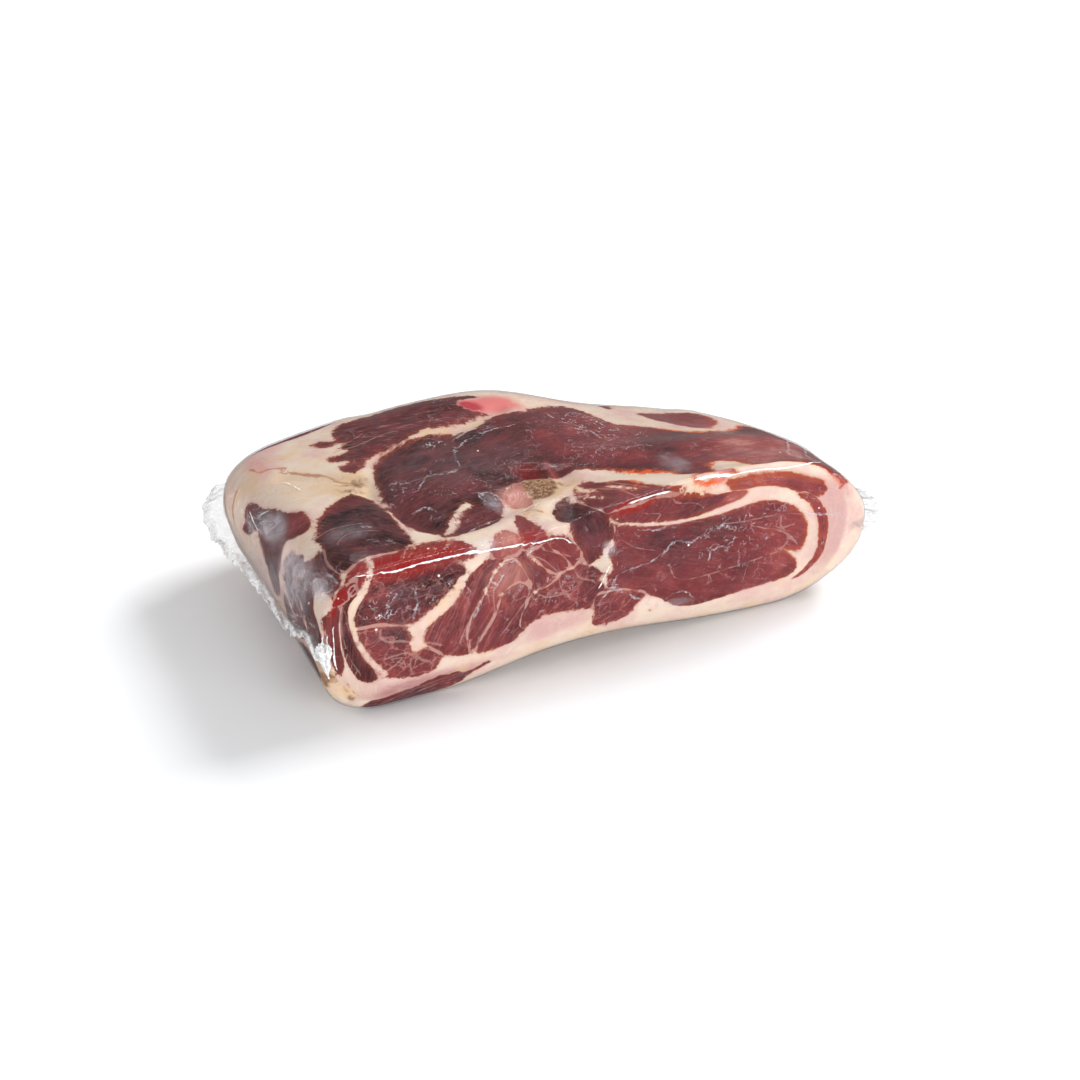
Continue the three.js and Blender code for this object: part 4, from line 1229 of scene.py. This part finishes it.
def makeKnot(material):
    # the crumpled corner where the left seal ends
    bpy.ops.object.select_all(action="DESELECT")
    bpy.ops.mesh.primitive_ico_sphere_add(subdivisions=5, radius=1)
    knot = startPiece("sealKnot")
    ball = pointsOf(knot)
    x, y, z = ball.T
    wrinkle = 0.16 * np.sin(7 * x + 5 * z) * np.sin(6 * y - 4 * z)
    wrinkle += 0.09 * np.sin(15 * x + 9 * y) * np.sin(13 * z + 5 * x)
    wrinkle += 0.05 * np.sin(29 * y + 11 * x) * np.sin(31 * z)
    tail = smooth((-z - 0.2) / 0.8)
    points = ball * (1 + wrinkle)[:, None] * sealKnot["radius"]
    points[:, :2] *= (1 - 0.62 * tail)[:, None]
    points += np.array(sealKnot["place"])
    points += tail[:, None] * (np.array(sealKnot["tail"]) - np.array(sealKnot["place"]))
    placePoints(knot, points)
    keepField(knot, "haze", 0.55 + 0.4 * smooth(0.5 + 3 * wrinkle))
    finishPiece(knot, material)


# Camera, floor and light

photoView = dict(azimuth=-26, elevation=30, distance=1.045, target=(112, 58, 23.3), lens=85, sensor=36)
paleTable = dict(size=8, drop=0.0002, colour=(0.85, 0.86, 0.875), roughness=0.6, shine=0.2)
skyStrength = dict(light=0.57, reflected=0.2)

# place, size and power. The strips only show as reflections in the film.
lamps = dict(
    rightLight=((2.1, 0.55, 1.8), (1.3, 1.0), 86),
    frontLight=((0.4, -2.1, 0.48), (2.2, 0.7), 45),
    leftFill=((-1.9, 0.1, 0.5), (1.0, 0.35), 11),
    overheadStrip=((0.25, 0.12, 1.2), (1.1, 0.08), 2.4),
    backStrip=((0.42, 0.86, 1.15), (0.9, 0.08), 1.2),
    leftStrip=((-0.95, 1.25, 0.45), (0.08, 0.9), 3.5),
)


def makeCamera():
    bpy.ops.object.camera_add()
    camera = bpy.context.object
    camera.name = "photoCamera"
    azimuth, elevation = (math.radians(photoView[name]) for name in ("azimuth", "elevation"))
    level = math.cos(elevation)
    back = Vector((math.sin(azimuth) * level, -math.cos(azimuth) * level, math.sin(elevation)))
    target = Vector([a + b for a, b in zip(photoView["target"], (*hamShape["zero"], 0))]) / 1000
    camera.location = target + back * photoView["distance"]
    camera.rotation_euler = (-back).to_track_quat("-Z", "Y").to_euler()
    camera.data.lens = photoView["lens"]
    camera.data.sensor_width = photoView["sensor"]
    camera.data.clip_start = 0.05
    bpy.context.scene.camera = camera


def makeFloor():
    bpy.ops.mesh.primitive_plane_add(size=paleTable["size"])
    floor = bpy.context.object
    floor.name = "paleTable"
    material, bench = newMaterial("paleTable")
    look = {"Base Color": "colour", "Roughness": "roughness", "Specular IOR Level": "shine"}
    bench.finish(bench.surface({socket: paleTable[name] for socket, name in look.items()}))
    floor.data.materials.append(material)
    floor.location.z = -paleTable["drop"]
    floor.visible_glossy = False


def addLamp(name, location, size, power):
    bpy.ops.object.light_add(type="AREA", location=location)
    lamp = bpy.context.object
    lamp.name = name
    lamp.data.shape = "RECTANGLE"
    lamp.data.size, lamp.data.size_y = size
    lamp.data.energy = power
    aim = Vector((0, 0, 0.03)) - Vector(location)
    lamp.rotation_euler = aim.to_track_quat("-Z", "Y").to_euler()
    lamp.visible_glossy = name.endswith("Strip")
    lamp.visible_diffuse = not lamp.visible_glossy


def makeLight():
    for name, look in lamps.items():
        addLamp(name, *look)
    world = bpy.data.worlds.new("studioWhite")
    bpy.context.scene.world = world
    world.use_nodes = True
    world.node_tree.nodes.clear()
    bench = NodeBench(world.node_tree)
    glossy = bench.add("ShaderNodeLightPath").outputs["Is Glossy Ray"]
    strength = bench.step(glossy, 0, 1, skyStrength["light"], skyStrength["reflected"])
    sky = bench.add("ShaderNodeBackground", dict(Color=(1, 1, 1), Strength=strength)).outputs[0]
    bench.add("ShaderNodeOutputWorld", dict(Surface=sky))
    bpy.context.scene.view_settings.view_transform = "Standard"


makeCamera()
makeFloor()
makeLight()
makeMeat()
makeFilm()
sealMaterial = makeSealMaterial()
for look in sealLooks:
    makeSeal(look, sealMaterial)
makeKnot(sealMaterial)
